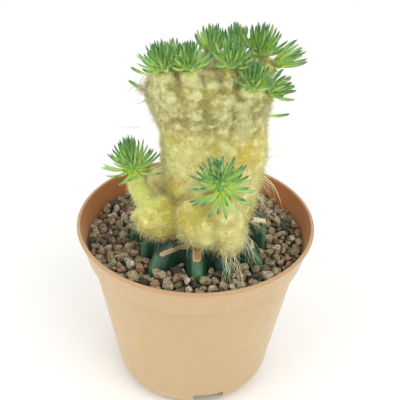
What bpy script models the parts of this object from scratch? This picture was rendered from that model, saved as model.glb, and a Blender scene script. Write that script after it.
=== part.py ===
"""Potted austrocylindropuntia: a woolly crested scion on a ribbed graft stock, in a 105 mm nursery pot.

Metres, +Z up. The origin is the middle of the circle that the pot's foot stands on, and -Y is the front.
Sizes below are in millimetres and angles in degrees; MM turns a size into metres where a mesh is made.
"""

import math
import random
from itertools import product

import bmesh
import bpy
from mathutils import Matrix, Vector, noise
from mathutils.bvhtree import BVHTree

MM = 0.001
CLEARANCE = 0.3
SEAT_GAP = 0.35
WELDS = (0.04, 0.02, 0.006, 0.001)
FLATNESSES = (4.0, 2.0, 0.5, 0.0)
TRIES = 8

# Pot
POT_HEIGHT = 82.0
POT_SIDES = 40
LIP_RADIUS = 52.5
LIP_DEPTH = 1.7
LIP_PROUD = 0.5
COLLAR_FOOT_RADIUS = 48.5
COLLAR_FOOT_Z = 68.0
BODY_TOP_RADIUS = 46.3
BODY_TOP_Z = 66.6
TAPER_FOOT_RADIUS = 35.7
EDGE_ROUNDING = 11.0
EDGE_STEPS = 4
FOOT_RING_WIDTH = 2.4
FOOT_RING_DRAFT = 0.6
FLOOR_UNDERSIDE = 9.6
FLOOR_TOP = 11.0
WALL = 1.2
SOFT_EDGE = 0.4
NOTCH_COUNT = 3
NOTCH_WIDTH = 14.2
NOTCH_HEIGHT = 9.0
NOTCH_DEPTH = 16.0
NOTCH_FIRST_ANGLE = -77.0
DRAIN_COUNT = 6
DRAIN_RADIUS = 3.4
DRAIN_RING_RADIUS = 17.5

# Growing medium
SUBSTRATE_TOP = 66.0
STUB_HOLE_RADIUS = 14.3
STUB_HOLE_FLOOR = 41.0
GRAVEL_FLOOR = 66.3
GRAVEL_BED_TOP = 70.9
BED_RINGS = (34.0, 0.0)
BED_TO_COLLAR = 0.1
GRAIN_SPACING = 7.3
GRAIN_ROW_SPACING = 6.57
GRAIN_SIZE = 3.5
GRAIN_TO_WALL = 4.5
GRAIN_SIZES = (-0.15, 0.15)
EDGE_GRAIN_SIZES = (-0.15, -0.05)
GRAIN_LIFT = (0.6, 1.9)
GRAIN_SHIFT = 0.8
GRAIN_SWING = 2.0
GRAIN_SEED = 11
PEBBLE_SIDES = 4
PEBBLE_RINGS = ((-1.0, 0.0), (-0.35, 0.95), (0.45, 0.85), (0.95, 0.0))
PEBBLE_UNEVENNESS = (0.82, 1.12)
PEBBLE_LEAN = 0.5
PEBBLE_STRETCH = ((0.9, 1.16), (0.82, 1.0), (0.75, 1.0))
SLOT_ROOM = 0.45
SLOT_DEPTH = 5.0

# Graft stock: angle, radius at the gravel, radius and height of the trimmed top corner
RIBS = (
    (-176, 29.5, 28.5, 79.0),
    (-148, 28.0, 26.5, 82.0),
    (-124, 33.5, 28.8, 79.5),
    (-87.5, 31.2, 27.6, 79.5),
    (-60, 31.0, 27.5, 79.0),
    (-35, 35.6, 30.0, 81.5),
    (-10, 31.8, 31.4, 87.0),
    (24, 31.0, 29.5, 85.0),
    (62, 32.0, 29.5, 83.0),
    (100, 32.0, 30.0, 82.5),
    (142, 31.0, 29.0, 81.5),
)
RIB_ROOT_RADIUS = 12.0
RIB_ROOT_HALF = 6.4
RIB_SHOULDER_HALF = 4.2
RIB_EDGE_HALF = 2.3
RIB_SHOULDER_BACK = 4.5
RIB_EDGE_BACK = 1.2
RIB_BEVEL_IN = 7.0
RIB_BEVEL_UP = 4.5
RIB_STRAIGHT_TOP = 74.0
STOCK_CORE_RADIUS = 20.6
STOCK_SIDES = 16
STOCK_TOP_BEVEL = 2.0
STOCK_TOP = 83.6
TRIMMED_RADIUS = 21.0
STUB_RADIUS = 13.6
STUB_FOOT_Z = 42.0
STUB_BEVEL = 1.5

# Scion trunk and crest: height, middle x, middle y, half width, half depth
TRUNK = (
    (84.0, 4.0, -2.0, 14.0, 13.0),
    (88.0, 4.4, -2.0, 18.0, 16.0),
    (98.0, 5.2, -1.5, 20.2, 16.2),
    (104.0, 6.2, -1.3, 21.2, 15.6),
    (117.0, 6.9, -1.0, 22.0, 15.0),
    (130.0, 6.0, -0.5, 21.8, 14.6),
    (137.0, 5.0, 0.0, 23.6, 15.4),
    (142.0, 4.0, 0.0, 25.4, 16.2),
    (149.0, 3.6, 0.0, 25.8, 16.2),
    (154.0, 3.8, 0.0, 24.6, 14.6),
    (157.5, 4.0, 0.0, 21.0, 10.0),
    (158.8, 4.0, 0.0, 16.0, 0.0),
)
TRUNK_COLUMNS = 36
TRUNK_ROWS = 21
TRUNK_ROW_CROWDING = 0.94
TRUNK_SQUARENESS = 2.4
RELIEF = 0.65
RELIEF_SPREAD = 0.9
TUBERCLE_SIZE = 4.7
LUMP_SIZE = 11.0
LUMP_HEIGHT = 0.7

# Lobes round the foot of the scion: middle and radii
LOBES = (
    ((-15.0, -13.5, 92.5), (11.6, 10.0, 9.8)),
    ((4.5, -18.5, 94.6), (14.5, 11.0, 12.4)),
    ((14.0, -20.5, 91.2), (7.2, 8.6, 12.6)),
    ((18.0, -5.0, 94.5), (6.8, 10.0, 9.5)),
    ((-10.5, 10.5, 94.0), (11.6, 9.4, 9.6)),
    ((12.0, 12.0, 95.0), (13.0, 9.0, 10.4)),
)
LOBE_COLUMNS = 12
LOBE_ROWS = 8

# Arms: points from root to tip with a radius at each
ARMS = (
    (
        ((-17.0, -12.0, 92.0), 5.4),
        ((-21.0, -12.0, 99.0), 4.6),
        ((-24.9, -12.0, 106.0), 3.9),
        ((-25.9, -12.0, 111.6), 3.6),
    ),
    (
        ((11.0, -20.0, 97.0), 6.4),
        ((11.6, -25.6, 102.5), 5.4),
        ((11.4, -27.7, 108.5), 4.7),
        ((11.0, -28.4, 112.5), 4.3),
    ),
)
ARM_COLUMNS = 8

# Leaf tufts: name, seat, direction, leaf count, leaf length, leafy stem length and radius, widest tilt
TUFTS = (
    ("tuft_arm_left", (-25.9, -12.0, 111.6), (-0.18, 0.0, 1.0), 25, 12.0, 9.5, 3.0, 100),
    ("tuft_arm_front", (11.0, -28.4, 112.5), (-0.1, -0.175, 1.0), 30, 13.5, 13.5, 3.3, 108),
    ("tuft_crest_left", (-14.2, -7.0, 158.2), (-0.22, -0.1, 1.0), 19, 10.5, 3.6, 3.6, 76),
    ("tuft_crest_front_left", (-4.0, -9.0, 160.0), (0.0, -0.24, 1.0), 16, 10.0, 3.6, 3.4, 72),
    ("tuft_crest_front_right", (12.4, -8.6, 161.0), (0.06, -0.2, 1.0), 19, 11.0, 3.6, 3.6, 74),
    ("tuft_crest_rear_left", (4.6, 8.4, 158.4), (0.0, 0.2, 1.0), 17, 11.0, 3.6, 3.4, 70),
    ("tuft_crest_rear_right", (14.6, 9.0, 159.0), (0.02, 0.26, 1.0), 14, 10.0, 3.6, 3.2, 72),
    ("tuft_shoulder_top", (23.8, 2.0, 161.2), (0.14, 0.0, 1.0), 20, 12.0, 4.0, 3.6, 70),
    ("tuft_shoulder_edge", (29.6, -0.8, 158.4), (1.0, 0.0, 0.55), 8, 12.5, 3.0, 2.4, 44),
    ("tuft_shoulder_front", (21.0, -12.8, 154.4), (0.1, -0.36, 1.0), 17, 10.0, 3.8, 3.4, 68),
    ("tuft_shoulder_side", (27.8, -9.8, 150.6), (0.88, -0.42, 0.65), 12, 9.8, 3.2, 2.9, 58),
    ("tuft_back_left", (-10.0, 15.8, 149.0), (-0.25, 1.0, 0.7), 13, 10.5, 3.4, 3.2, 76),
    ("tuft_back_right", (12.3, 18.2, 147.0), (0.2, 1.0, 0.5), 13, 10.5, 3.4, 3.2, 76),
    ("leaf_right", (28.7, -3.0, 136.6), (1.0, -0.1, 0.1), 1, 8.5, 1.6, 0.8, 0),
    ("leaf_left", (-22.6, -3.0, 147.6), (-1.0, -0.2, 0.6), 1, 6.5, 1.6, 0.8, 0),
    ("leaf_left_upper", (-21.6, -2.0, 153.6), (-1.0, 0.0, 0.35), 1, 6.0, 1.6, 0.8, 0),
)
FIRST_CREST_TUFT = 2
FIRST_SINGLE_LEAF = 13
HEAD_LENGTH = 9.0
HEAD_NECK = 2.2
HEAD_FLARE = 2.0
HEAD_NECK_FLARE = 1.1
HEAD_RIM = 0.5
HEAD_SIDES = 8
STEM_SHAPE = ((0.0, 1.0), (0.6, 0.85), (1.0, 0.4))
STEM_SIDES = 8
LEAF_HALF = 0.98
LEAF_ROOT_SHARE = 0.5
LEAF_TURN = 137.5
LEAF_BEND_SHARE = 0.55
LEAF_UPSWEEP = 32.0
LOWEST_LEAF_SHARE = 0.12
HIGHEST_LEAF_SHARE = 0.9
LEAF_CROWDING = 0.85
LEAF_SIZE_SPREAD = 0.07
LEAF_TILT_SPREAD = 5.0
TOP_LEAF_TILT = 10.0
TOP_LEAF_SHARE = 0.8
SINGLE_LEAF_SIDES = 5
SINGLE_LEAF_LIFT = 0.8
LEAF_TO_LEAF = 2.3
LEAF_TO_BODY = 1.25
TILT_STEP = 7.0
TILT_STEPS = 9
LEAF_SEED = 5

# Spines on the scion
SPINE_COUNT = 50
SPINE_RADIUS = 0.42
SPINE_ROOT = 1.8
SPINE_SHORTEST = 4.5
SPINE_LONGEST = 9.5
SPINE_SPACING = 10.5
SPINE_TO_TUFT = 15.0
SPINE_TO_STOCK = 2.0
SPINE_SWAY = 0.25
SPINE_DROOP = (-0.45, 0.1)
LOWEST_SPINE_Z = 86.0
LOWEST_SPINE_WAY = -0.5
SPINE_SEED = 8


def clear_scene():
    """Remove every object of the open scene."""
    for item in list(bpy.data.objects):
        bpy.data.objects.remove(item, do_unlink=True)


def finish(name, colour, roughness):
    """One plain material for a sub-part."""
    made = bpy.data.materials.new(name)
    made.use_nodes = True
    shader = made.node_tree.nodes["Principled BSDF"]
    shader.inputs["Base Color"].default_value = (*colour, 1.0)
    shader.inputs["Roughness"].default_value = roughness
    shader.inputs["Metallic"].default_value = 0.0
    return made


def place_mesh(name, bm, made_of=None, collection=None):
    """Turn a bmesh drawn in millimetres into an object in metres."""
    bmesh.ops.scale(bm, vec=(MM, MM, MM), verts=bm.verts)
    mesh = bpy.data.meshes.new(name)
    bm.to_mesh(mesh)
    bm.free()
    item = bpy.data.objects.new(name, mesh)
    (collection or bpy.context.scene.collection).objects.link(item)
    if made_of:
        mesh.materials.append(made_of)
    return item


def skin(rings, relief=False):
    """Skin a stack of rings and fill its open ends. With relief, quads split along their low corners."""
    columns = len(rings[0])
    rows = len(rings) - 1
    bm = bmesh.new()
    bmesh.ops.create_grid(bm, x_segments=columns, y_segments=rows, size=0.5)
    low = set()
    for vert in bm.verts:
        column = round((vert.co.x + 0.5) * columns)
        row = round((vert.co.y + 0.5) * rows)
        vert.co = rings[row][column % columns]
        if (column + row) % 2:
            low.add(vert)
    if relief:
        for face in list(bm.faces):
            ends = [vert for vert in face.verts if vert in low]
            bmesh.utils.face_split(face, *ends)
    bmesh.ops.remove_doubles(bm, verts=bm.verts, dist=0.001)
    open_edges = [edge for edge in bm.edges if edge.is_boundary]
    bmesh.ops.holes_fill(bm, edges=open_edges, sides=0)
    bmesh.ops.recalc_face_normals(bm, faces=bm.faces)
    bent = [face for face in bm.faces if len(face.verts) == 4]
    bmesh.ops.triangulate(bm, faces=bent)
    return bm


def turn_profile(profile, sides):
    """Turn a profile of (radius, height) points, which starts and ends on the axis, all the way round."""
    bm = bmesh.new()
    points = [bm.verts.new((radius, 0.0, height)) for radius, height in profile]
    edges = [bm.edges.new(pair) for pair in zip(points, points[1:])]
    bmesh.ops.spin(
        bm,
        geom=points + edges,
        cent=(0, 0, 0),
        axis=(0, 0, 1),
        angle=math.tau,
        steps=sides,
        use_merge=True,
    )
    bmesh.ops.remove_doubles(bm, verts=bm.verts, dist=0.001)
    bmesh.ops.recalc_face_normals(bm, faces=bm.faces)
    return bm


def polar(radius, angle, height):
    """Point at an angle in degrees round the Z axis."""
    turn = math.radians(angle)
    return Vector((radius * math.cos(turn), radius * math.sin(turn), height))


def ring(middle, radius, sides, axis=Vector((0, 0, 1))):
    """Round ring of points across an axis."""
    facing = axis.to_track_quat("Z", "Y")
    steps = (math.tau * step / sides for step in range(sides))
    return [middle + facing @ Vector((radius * math.cos(turn), radius * math.sin(turn), 0)) for turn in steps]


def scratch_group(name):
    """Collection that holds the operands of one Boolean."""
    group = bpy.data.collections.new(name)
    bpy.context.scene.collection.children.link(group)
    return group


def is_sound(bm):
    """Whether a triangle mesh is closed and no triangle cuts one that it doesn't touch."""
    if not all(edge.is_manifold for edge in bm.edges):
        return False
    bm.faces.ensure_lookup_table()
    tree = BVHTree.FromBMesh(bm)
    for first, second in tree.overlap(tree):
        if first < second and not set(bm.faces[first].verts) & set(bm.faces[second].verts):
            return False
    return True


def outer_body(bm):
    """Drop loose scraps and the walls of sealed hollows."""
    unseen = set(bm.verts)
    bodies = []
    while unseen:
        body = {unseen.pop()}
        edge_of_body = list(body)
        while edge_of_body:
            vert = edge_of_body.pop()
            near = {edge.other_vert(vert) for edge in vert.link_edges} & unseen
            unseen -= near
            body |= near
            edge_of_body.extend(near)
        bodies.append(body)
    bodies.sort(key=len)
    scraps = [vert for body in bodies[:-1] for vert in body]
    bmesh.ops.delete(bm, geom=scraps, context="VERTS")


def clean_triangles(mesh):
    """Triangles of a Boolean's result, merged and welded as coarsely as leaves it sound, or None."""
    for flatness, distance in product(FLATNESSES, WELDS):
        bm = bmesh.new()
        bm.from_mesh(mesh)
        bmesh.ops.remove_doubles(bm, verts=bm.verts, dist=distance * MM)
        outer_body(bm)
        bmesh.ops.dissolve_limit(bm, angle_limit=math.radians(flatness), verts=bm.verts, edges=bm.edges)
        idle = [vert for vert in bm.verts if len(vert.link_edges) == 2]
        bmesh.ops.dissolve_verts(bm, verts=idle)
        bmesh.ops.triangulate(bm, faces=bm.faces)
        if is_sound(bm):
            return bm
        bm.free()
    return None


def apply_boolean(item, group, operation):
    """Join a collection to an object or cut it away, and remove the operands. Says whether it worked."""
    step = item.modifiers.new("boolean", "BOOLEAN")
    step.operation = operation
    step.operand_type = "COLLECTION"
    step.collection = group
    step.solver = "MANIFOLD"
    evaluated = item.evaluated_get(bpy.context.evaluated_depsgraph_get())
    result = bpy.data.meshes.new_from_object(evaluated)
    changed = len(result.vertices) != len(item.data.vertices)
    item.modifiers.clear()
    for operand in list(group.objects):
        bpy.data.objects.remove(operand, do_unlink=True)
    bpy.data.collections.remove(group)
    bm = clean_triangles(result)
    if not changed or bm is None:
        return False
    bm.to_mesh(result)
    bm.free()
    item.data = result
    return True


def join(item, group):
    """Fuse a collection into an object."""
    if not apply_boolean(item, group, "UNION"):
        raise RuntimeError(f"{item.name} did not join")


def cut(item, group):
    """Cut a collection away from an object."""
    if not apply_boolean(item, group, "DIFFERENCE"):
        raise RuntimeError(f"{item.name} was not cut")


def shade(item, angle):
    """Shade smooth, with edges sharper than an angle left crisp."""
    item.data.shade_smooth()
    item.data.set_sharp_from_angle(angle=math.radians(angle))


def wall_radius_at(height):
    """Inner radius of the pot's wall."""
    if height >= COLLAR_FOOT_Z:
        share = (height - COLLAR_FOOT_Z) / (POT_HEIGHT - COLLAR_FOOT_Z)
        return COLLAR_FOOT_RADIUS - WALL + share * (LIP_RADIUS - LIP_PROUD - COLLAR_FOOT_RADIUS)
    share = (height - EDGE_ROUNDING) / (BODY_TOP_Z - EDGE_ROUNDING)
    return TAPER_FOOT_RADIUS - WALL + share * (BODY_TOP_RADIUS - TAPER_FOOT_RADIUS)


def rounded_edge():
    """Quarter round at the pot's lower edge, from the taper down to the foot."""
    middle = TAPER_FOOT_RADIUS - EDGE_ROUNDING
    points = []
    for step in range(EDGE_STEPS + 1):
        turn = math.pi / 2 * step / EDGE_STEPS
        points.append((middle + EDGE_ROUNDING * math.cos(turn), EDGE_ROUNDING * (1 - math.sin(turn))))
    return points


def make_pot():
    """Injection-moulded pot: lip, stepped collar, tapered body, rounded lower edge and notched foot."""
    lip_foot = POT_HEIGHT - LIP_DEPTH
    collar_top_radius = LIP_RADIUS - LIP_PROUD
    foot_outer = TAPER_FOOT_RADIUS - EDGE_ROUNDING
    foot_inner = foot_outer - FOOT_RING_WIDTH
    outside = [
        (LIP_RADIUS - SOFT_EDGE, POT_HEIGHT),
        (LIP_RADIUS, POT_HEIGHT - SOFT_EDGE),
        (LIP_RADIUS, lip_foot + SOFT_EDGE),
        (collar_top_radius, lip_foot),
        (COLLAR_FOOT_RADIUS, COLLAR_FOOT_Z + SOFT_EDGE),
        (COLLAR_FOOT_RADIUS - SOFT_EDGE, COLLAR_FOOT_Z),
        (BODY_TOP_RADIUS + SOFT_EDGE, BODY_TOP_Z + SOFT_EDGE),
        (BODY_TOP_RADIUS, BODY_TOP_Z - SOFT_EDGE),
    ]
    outside += rounded_edge()
    outside += [(foot_inner, 0.0), (foot_inner - FOOT_RING_DRAFT, FLOOR_UNDERSIDE), (0.0, FLOOR_UNDERSIDE)]
    inside = [
        (0.0, FLOOR_TOP),
        (wall_radius_at(FLOOR_TOP), FLOOR_TOP),
        (BODY_TOP_RADIUS - WALL, BODY_TOP_Z),
        (wall_radius_at(COLLAR_FOOT_Z + 1.0), COLLAR_FOOT_Z + 1.0),
        (wall_radius_at(lip_foot), lip_foot),
        (LIP_RADIUS - WALL, POT_HEIGHT),
    ]
    plastic = finish("pot_plastic", (0.62, 0.33, 0.17), 0.45)
    pot = place_mesh("pot", turn_profile(inside + outside, POT_SIDES), plastic)
    cutters = scratch_group("pot_cutters")
    for step in range(NOTCH_COUNT):
        angle = NOTCH_FIRST_ANGLE + 360 / NOTCH_COUNT * step
        bm = bmesh.new()
        bmesh.ops.create_cube(bm, size=1.0)
        bmesh.ops.scale(bm, vec=(NOTCH_DEPTH, NOTCH_WIDTH, 2 * NOTCH_HEIGHT), verts=bm.verts)
        bmesh.ops.translate(bm, vec=(TAPER_FOOT_RADIUS + 1.0 - NOTCH_DEPTH / 2, 0, 0), verts=bm.verts)
        bmesh.ops.rotate(bm, matrix=Matrix.Rotation(math.radians(angle), 3, "Z"), verts=bm.verts)
        place_mesh("notch_cutter", bm, collection=cutters)
    for step in range(DRAIN_COUNT):
        angle = NOTCH_FIRST_ANGLE + 360 / DRAIN_COUNT * step
        bm = bmesh.new()
        bmesh.ops.create_cone(
            bm, cap_ends=True, segments=8, radius1=DRAIN_RADIUS, radius2=DRAIN_RADIUS, depth=3 * FLOOR_TOP
        )
        bmesh.ops.translate(bm, vec=polar(DRAIN_RING_RADIUS, angle, FLOOR_TOP), verts=bm.verts)
        place_mesh("drain_cutter", bm, collection=cutters)
    cut(pot, cutters)
    shade(pot, 35)
    return pot


def make_substrate():
    """Potting mix that fills the pot up to the gravel, with a plain hole for the stock's stub."""
    foot = FLOOR_TOP + CLEARANCE
    profile = [
        (0.0, foot),
        (wall_radius_at(foot) - CLEARANCE, foot),
        (wall_radius_at(SUBSTRATE_TOP) - CLEARANCE, SUBSTRATE_TOP),
        (STUB_HOLE_RADIUS, SUBSTRATE_TOP),
        (STUB_HOLE_RADIUS, STUB_HOLE_FLOOR),
        (0.0, STUB_HOLE_FLOOR),
    ]
    mix = finish("potting_mix", (0.09, 0.06, 0.04), 0.95)
    return place_mesh("substrate", turn_profile(profile, POT_SIDES // 2), mix)


def rib_rings(angle, levels, grow=0.0):
    """Outlines of one rib at levels of (radius, height), as wide as the rib plus grow."""
    rings = []
    for radius, height in levels:
        edge = radius + grow
        outline = (
            (RIB_ROOT_RADIUS, -RIB_ROOT_HALF - grow),
            (edge - RIB_SHOULDER_BACK, -RIB_SHOULDER_HALF - grow),
            (edge - RIB_EDGE_BACK, -RIB_EDGE_HALF - grow),
            (edge, 0.0),
            (edge - RIB_EDGE_BACK, RIB_EDGE_HALF + grow),
            (edge - RIB_SHOULDER_BACK, RIB_SHOULDER_HALF + grow),
            (RIB_ROOT_RADIUS, RIB_ROOT_HALF + grow),
        )
        turn = Matrix.Rotation(math.radians(angle), 3, "Z")
        rings.append([turn @ Vector((along, across, height)) for along, across in outline])
    return rings


def make_rootstock():
    """Ribbed stub of the stock plant: trimmed ribs above the gravel and a round stub in the mix."""
    profile = [
        (0.0, STUB_FOOT_Z),
        (STUB_RADIUS - STUB_BEVEL, STUB_FOOT_Z),
        (STUB_RADIUS, STUB_FOOT_Z + STUB_BEVEL),
        (STUB_RADIUS, GRAVEL_FLOOR),
        (STOCK_CORE_RADIUS, GRAVEL_FLOOR),
        (STOCK_CORE_RADIUS, STOCK_TOP - STOCK_TOP_BEVEL),
        (STOCK_CORE_RADIUS - STOCK_TOP_BEVEL, STOCK_TOP),
        (0.0, STOCK_TOP),
    ]
    green = finish("stock_skin", (0.03, 0.1, 0.05), 0.4)
    stock = place_mesh("rootstock", turn_profile(profile, STOCK_SIDES), green)
    ribs = scratch_group("ribs")
    for angle, radius, corner_radius, corner_z in RIBS:
        levels = (
            (radius, GRAVEL_FLOOR),
            (radius, RIB_STRAIGHT_TOP),
            (corner_radius, corner_z),
            (corner_radius - RIB_BEVEL_IN, corner_z + RIB_BEVEL_UP),
        )
        place_mesh("rib", skin(rib_rings(angle, levels)), collection=ribs)
    join(stock, ribs)
    seats = scratch_group("lobe_seats")
    for middle, radii in LOBES:
        room = Vector(radii) + Vector((1, 1, 1)) * (RELIEF + 2 * CLEARANCE)
        place_mesh("seat", skin(ellipsoid_rings(middle, room, LOBE_COLUMNS, LOBE_ROWS)), collection=seats)
    trunk_room = RELIEF + LUMP_HEIGHT + 2 * CLEARANCE
    trunk_seat = trunk_rings(relief=0.0, grow=trunk_room, sink=TRUNK[0][0] - STOCK_TOP)
    place_mesh("seat", skin(trunk_seat), collection=seats)
    above = STOCK_TOP + 2 * RIB_BEVEL_UP
    clear_top = [(0.0, STOCK_TOP), (TRIMMED_RADIUS, STOCK_TOP), (TRIMMED_RADIUS, above), (0.0, above)]
    place_mesh("seat", turn_profile(clear_top, 12), collection=seats)
    cut(stock, seats)
    shade(stock, 40)
    return stock


def ellipsoid_rings(middle, radii, columns, rows, relief=0.0):
    """Rings of an ellipsoid, with every other point raised by relief and the rest sunk."""
    rings = []
    for row in range(rows + 1):
        tilt = math.pi * row / rows - math.pi / 2
        points = []
        for column in range(columns):
            turn = math.tau * column / columns
            way = Vector((math.cos(tilt) * math.cos(turn), math.cos(tilt) * math.sin(turn), math.sin(tilt)))
            at_pole = row in (0, rows)
            step = 0.0 if at_pole else relief * (-1 if (column + row) % 2 else 1)
            spot = Vector(middle) + Vector(way[axis] * (radii[axis] + step) for axis in range(3))
            points.append(spot)
        rings.append(points)
    return rings


def between(stations, height):
    """Smoothly interpolated trunk station at a height."""
    for low, high in zip(stations, stations[1:]):
        if height <= high[0]:
            break
    share = (height - low[0]) / (high[0] - low[0])
    ease = share * share * (3 - 2 * share) * 0.5 + share * 0.5
    return [a + (b - a) * ease for a, b in zip(low[1:], high[1:])]


def trunk_rings(relief=RELIEF, grow=0.0, sink=0.0):
    """Rings of the trunk, closed along the crest's ridge, with a raised tubercle on every other point."""
    foot = TRUNK[0][0]
    top = TRUNK[-1][0]
    shares = [(row / TRUNK_ROWS) ** TRUNK_ROW_CROWDING for row in range(TRUNK_ROWS + 1)]
    heights = [foot + (top - foot) * share for share in shares]
    heights[-2] = TRUNK[-2][0]
    rings = []
    for row, height in enumerate(heights):
        middle_x, middle_y, half_width, half_depth = between(TRUNK, height)
        points = []
        for column in range(TRUNK_COLUMNS):
            turn = math.tau * column / TRUNK_COLUMNS
            across = math.copysign(abs(math.cos(turn)) ** (2 / TRUNK_SQUARENESS), math.cos(turn))
            along = math.copysign(abs(math.sin(turn)) ** (2 / TRUNK_SQUARENESS), math.sin(turn))
            across *= half_width + grow
            along *= half_depth + grow
            spot = Vector((middle_x + across, middle_y + along, height))
            if row == 0:
                spot.z -= sink
            elif row < TRUNK_ROWS:
                out = Vector((math.cos(turn), math.sin(turn), 0))
                lump = LUMP_HEIGHT * noise.noise(spot / LUMP_SIZE)
                uneven = 1 + RELIEF_SPREAD * noise.noise(spot / TUBERCLE_SIZE)
                spot += out * (lump + relief * uneven * (-1 if (column + row) % 2 else 1))
            points.append(spot)
        rings.append(points)
    return rings


def tube_rings(stations, sides):
    """Rings across a bent tube, each station a point and a radius, facing along the tube."""
    spots = [Vector(spot) for spot, radius in stations]
    rings = []
    for index, (spot, radius) in enumerate(stations):
        behind = spots[max(index - 1, 0)]
        ahead = spots[min(index + 1, len(spots) - 1)]
        rings.append(ring(Vector(spot), radius, sides, ahead - behind))
    return rings


def head_of(seat, way, radius):
    """Short stub that carries a tuft, ending in a flat seat, sunk into the crest."""
    root = seat - way * HEAD_LENGTH
    neck = seat - way * HEAD_NECK
    stations = ((root, radius + HEAD_FLARE), (neck, radius + HEAD_NECK_FLARE), (seat, radius))
    return [ring(spot, size, HEAD_SIDES, way) for spot, size in stations]


def spine_spots(scion):
    """Seeded choice of tubercle tops to carry spines, spread over every side of the scion."""
    draw = random.Random(SPINE_SEED)
    seats = [Vector(row[1]) for row in TUFTS]
    candidates = [(vert.co / MM, vert.normal.copy()) for vert in scion.data.vertices]
    draw.shuffle(candidates)
    chosen = []
    for spot, out in candidates:
        far_from_tufts = all((spot - seat).length > SPINE_TO_TUFT for seat in seats)
        far_from_spines = all((spot - other).length > SPINE_SPACING for other, way in chosen)
        open_to_air = out.z > LOWEST_SPINE_WAY and spot.z > LOWEST_SPINE_Z
        if far_from_tufts and far_from_spines and open_to_air:
            chosen.append((spot, out))
        if len(chosen) == SPINE_COUNT:
            break
    return chosen


def add_spines(scion, stock):
    """Fuse long bristles into the scion, each clear of the stock."""
    draw = random.Random(SPINE_SEED)
    tree = BVHTree.FromObject(stock, bpy.context.evaluated_depsgraph_get())
    spines = scratch_group("spines")
    for spot, out in spine_spots(scion):
        sway = Vector((draw.uniform(-1, 1), draw.uniform(-1, 1), 0)) * SPINE_SWAY
        way = (out + sway + Vector((0, 0, draw.uniform(*SPINE_DROOP)))).normalized()
        length = draw.uniform(SPINE_SHORTEST, SPINE_LONGEST)
        tip = spot + way * length
        nearest = tree.find_nearest(tip * MM)
        if nearest[3] < SPINE_TO_STOCK * MM:
            continue
        root = ring(spot - way * SPINE_ROOT, SPINE_RADIUS, 3, way)
        place_mesh("spine", skin([root, [tip] * 3]), collection=spines)
    join(scion, spines)


def make_scion(stock):
    """Woolly crested body: trunk, foot lobes, two arms and the heads that carry the tufts, grown as one."""
    wool = finish("scion_wool", (0.72, 0.6, 0.24), 0.85)
    scion = place_mesh("scion", skin(trunk_rings(), relief=True), wool)
    growth = scratch_group("growth")
    for middle, radii in LOBES:
        rings = ellipsoid_rings(middle, radii, LOBE_COLUMNS, LOBE_ROWS, RELIEF)
        place_mesh("lobe", skin(rings, relief=True), collection=growth)
    for stations in ARMS:
        place_mesh("arm", skin(tube_rings(stations, ARM_COLUMNS)), collection=growth)
    for name, seat, way, count, length, stem, radius, tilt in TUFTS[FIRST_CREST_TUFT:]:
        rings = head_of(Vector(seat), Vector(way).normalized(), radius + HEAD_RIM)
        place_mesh("head", skin(rings), collection=growth)
    join(scion, growth)
    add_spines(scion, stock)
    shade(scion, 60)
    return scion


def leaf_line(root, axis, side, tilt, length):
    """Root, middle and tip of a leaf that leans from the stem's axis and curves back towards it."""
    lean = math.radians(tilt)
    start = axis * math.cos(lean) + side * math.sin(lean)
    inward = math.radians(max(tilt - LEAF_UPSWEEP, 0))
    end = axis * math.cos(inward) + side * math.sin(inward)
    middle = root + start * length * LEAF_BEND_SHARE
    return root, middle, middle + end * length * (1 - LEAF_BEND_SHARE)


def samples_of(line, count=5):
    """Points spread along a leaf outside its stem."""
    root, middle, tip = line
    first = [root.lerp(middle, step / count) for step in range(2, count + 1)]
    second = [middle.lerp(tip, step / count) for step in range(1, count + 1)]
    return first + second


def is_clear(samples, tree, others):
    """Whether a leaf keeps its distance from the scion and from the leaves of other tufts."""
    if any(tree.find_nearest(spot * MM)[3] < LEAF_TO_BODY * MM for spot in samples[1:]):
        return False
    return all((spot - other).length > LEAF_TO_LEAF for spot in samples for other in others)


def leaf_mesh(line):
    """Four-sided spindle along a leaf's line."""
    root, middle, tip = line
    rings = [
        ring(root, LEAF_HALF * LEAF_ROOT_SHARE, 4, middle - root),
        ring(middle, LEAF_HALF, 4, tip - root),
        [tip] * 4,
    ]
    return skin(rings)


def single_leaf(row, made_of):
    """One leaf by itself, standing just off the scion."""
    name, seat, way, count, length, stem, radius, tilt = row
    axis = Vector(way).normalized()
    foot = Vector(seat) + axis * SEAT_GAP
    middle = foot + axis * length * LEAF_BEND_SHARE
    tip = foot + axis * length + Vector((0, 0, SINGLE_LEAF_LIFT))
    sides = SINGLE_LEAF_SIDES
    rings = [ring(foot, radius, sides, axis), ring(middle, LEAF_HALF, sides, axis), [tip] * sides]
    return place_mesh(name, skin(rings), made_of)


def leaves_of(row, tree, taken, draw):
    """Lines of one tuft's leaves, from its lowest to its top, each leaning in until it is clear."""
    name, seat, way, count, length, stem, radius, tilt = row
    axis = Vector(way).normalized()
    foot = Vector(seat) + axis * SEAT_GAP
    facing = axis.to_track_quat("Z", "Y")
    lines = []
    turn = draw.uniform(0, 360)
    for index in range(count):
        share = index / (count - 1)
        turn += LEAF_TURN
        side = facing @ polar(1.0, turn, 0.0)
        level = LOWEST_LEAF_SHARE + (HIGHEST_LEAF_SHARE - LOWEST_LEAF_SHARE) * share**LEAF_CROWDING
        root = foot + axis * stem * level + side * LEAF_ROOT_SHARE * radius * (1 - share)
        spread = draw.uniform(-1, 1)
        size = length * (1 - (1 - TOP_LEAF_SHARE) * share) * (1 + LEAF_SIZE_SPREAD * spread)
        wanted = tilt + (TOP_LEAF_TILT - tilt) * share + LEAF_TILT_SPREAD * draw.uniform(-1, 1)
        for step in range(TILT_STEPS):
            line = leaf_line(root, axis, side, wanted - TILT_STEP * step, size)
            if is_clear(samples_of(line), tree, taken):
                lines.append(line)
                break
    return lines


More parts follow.
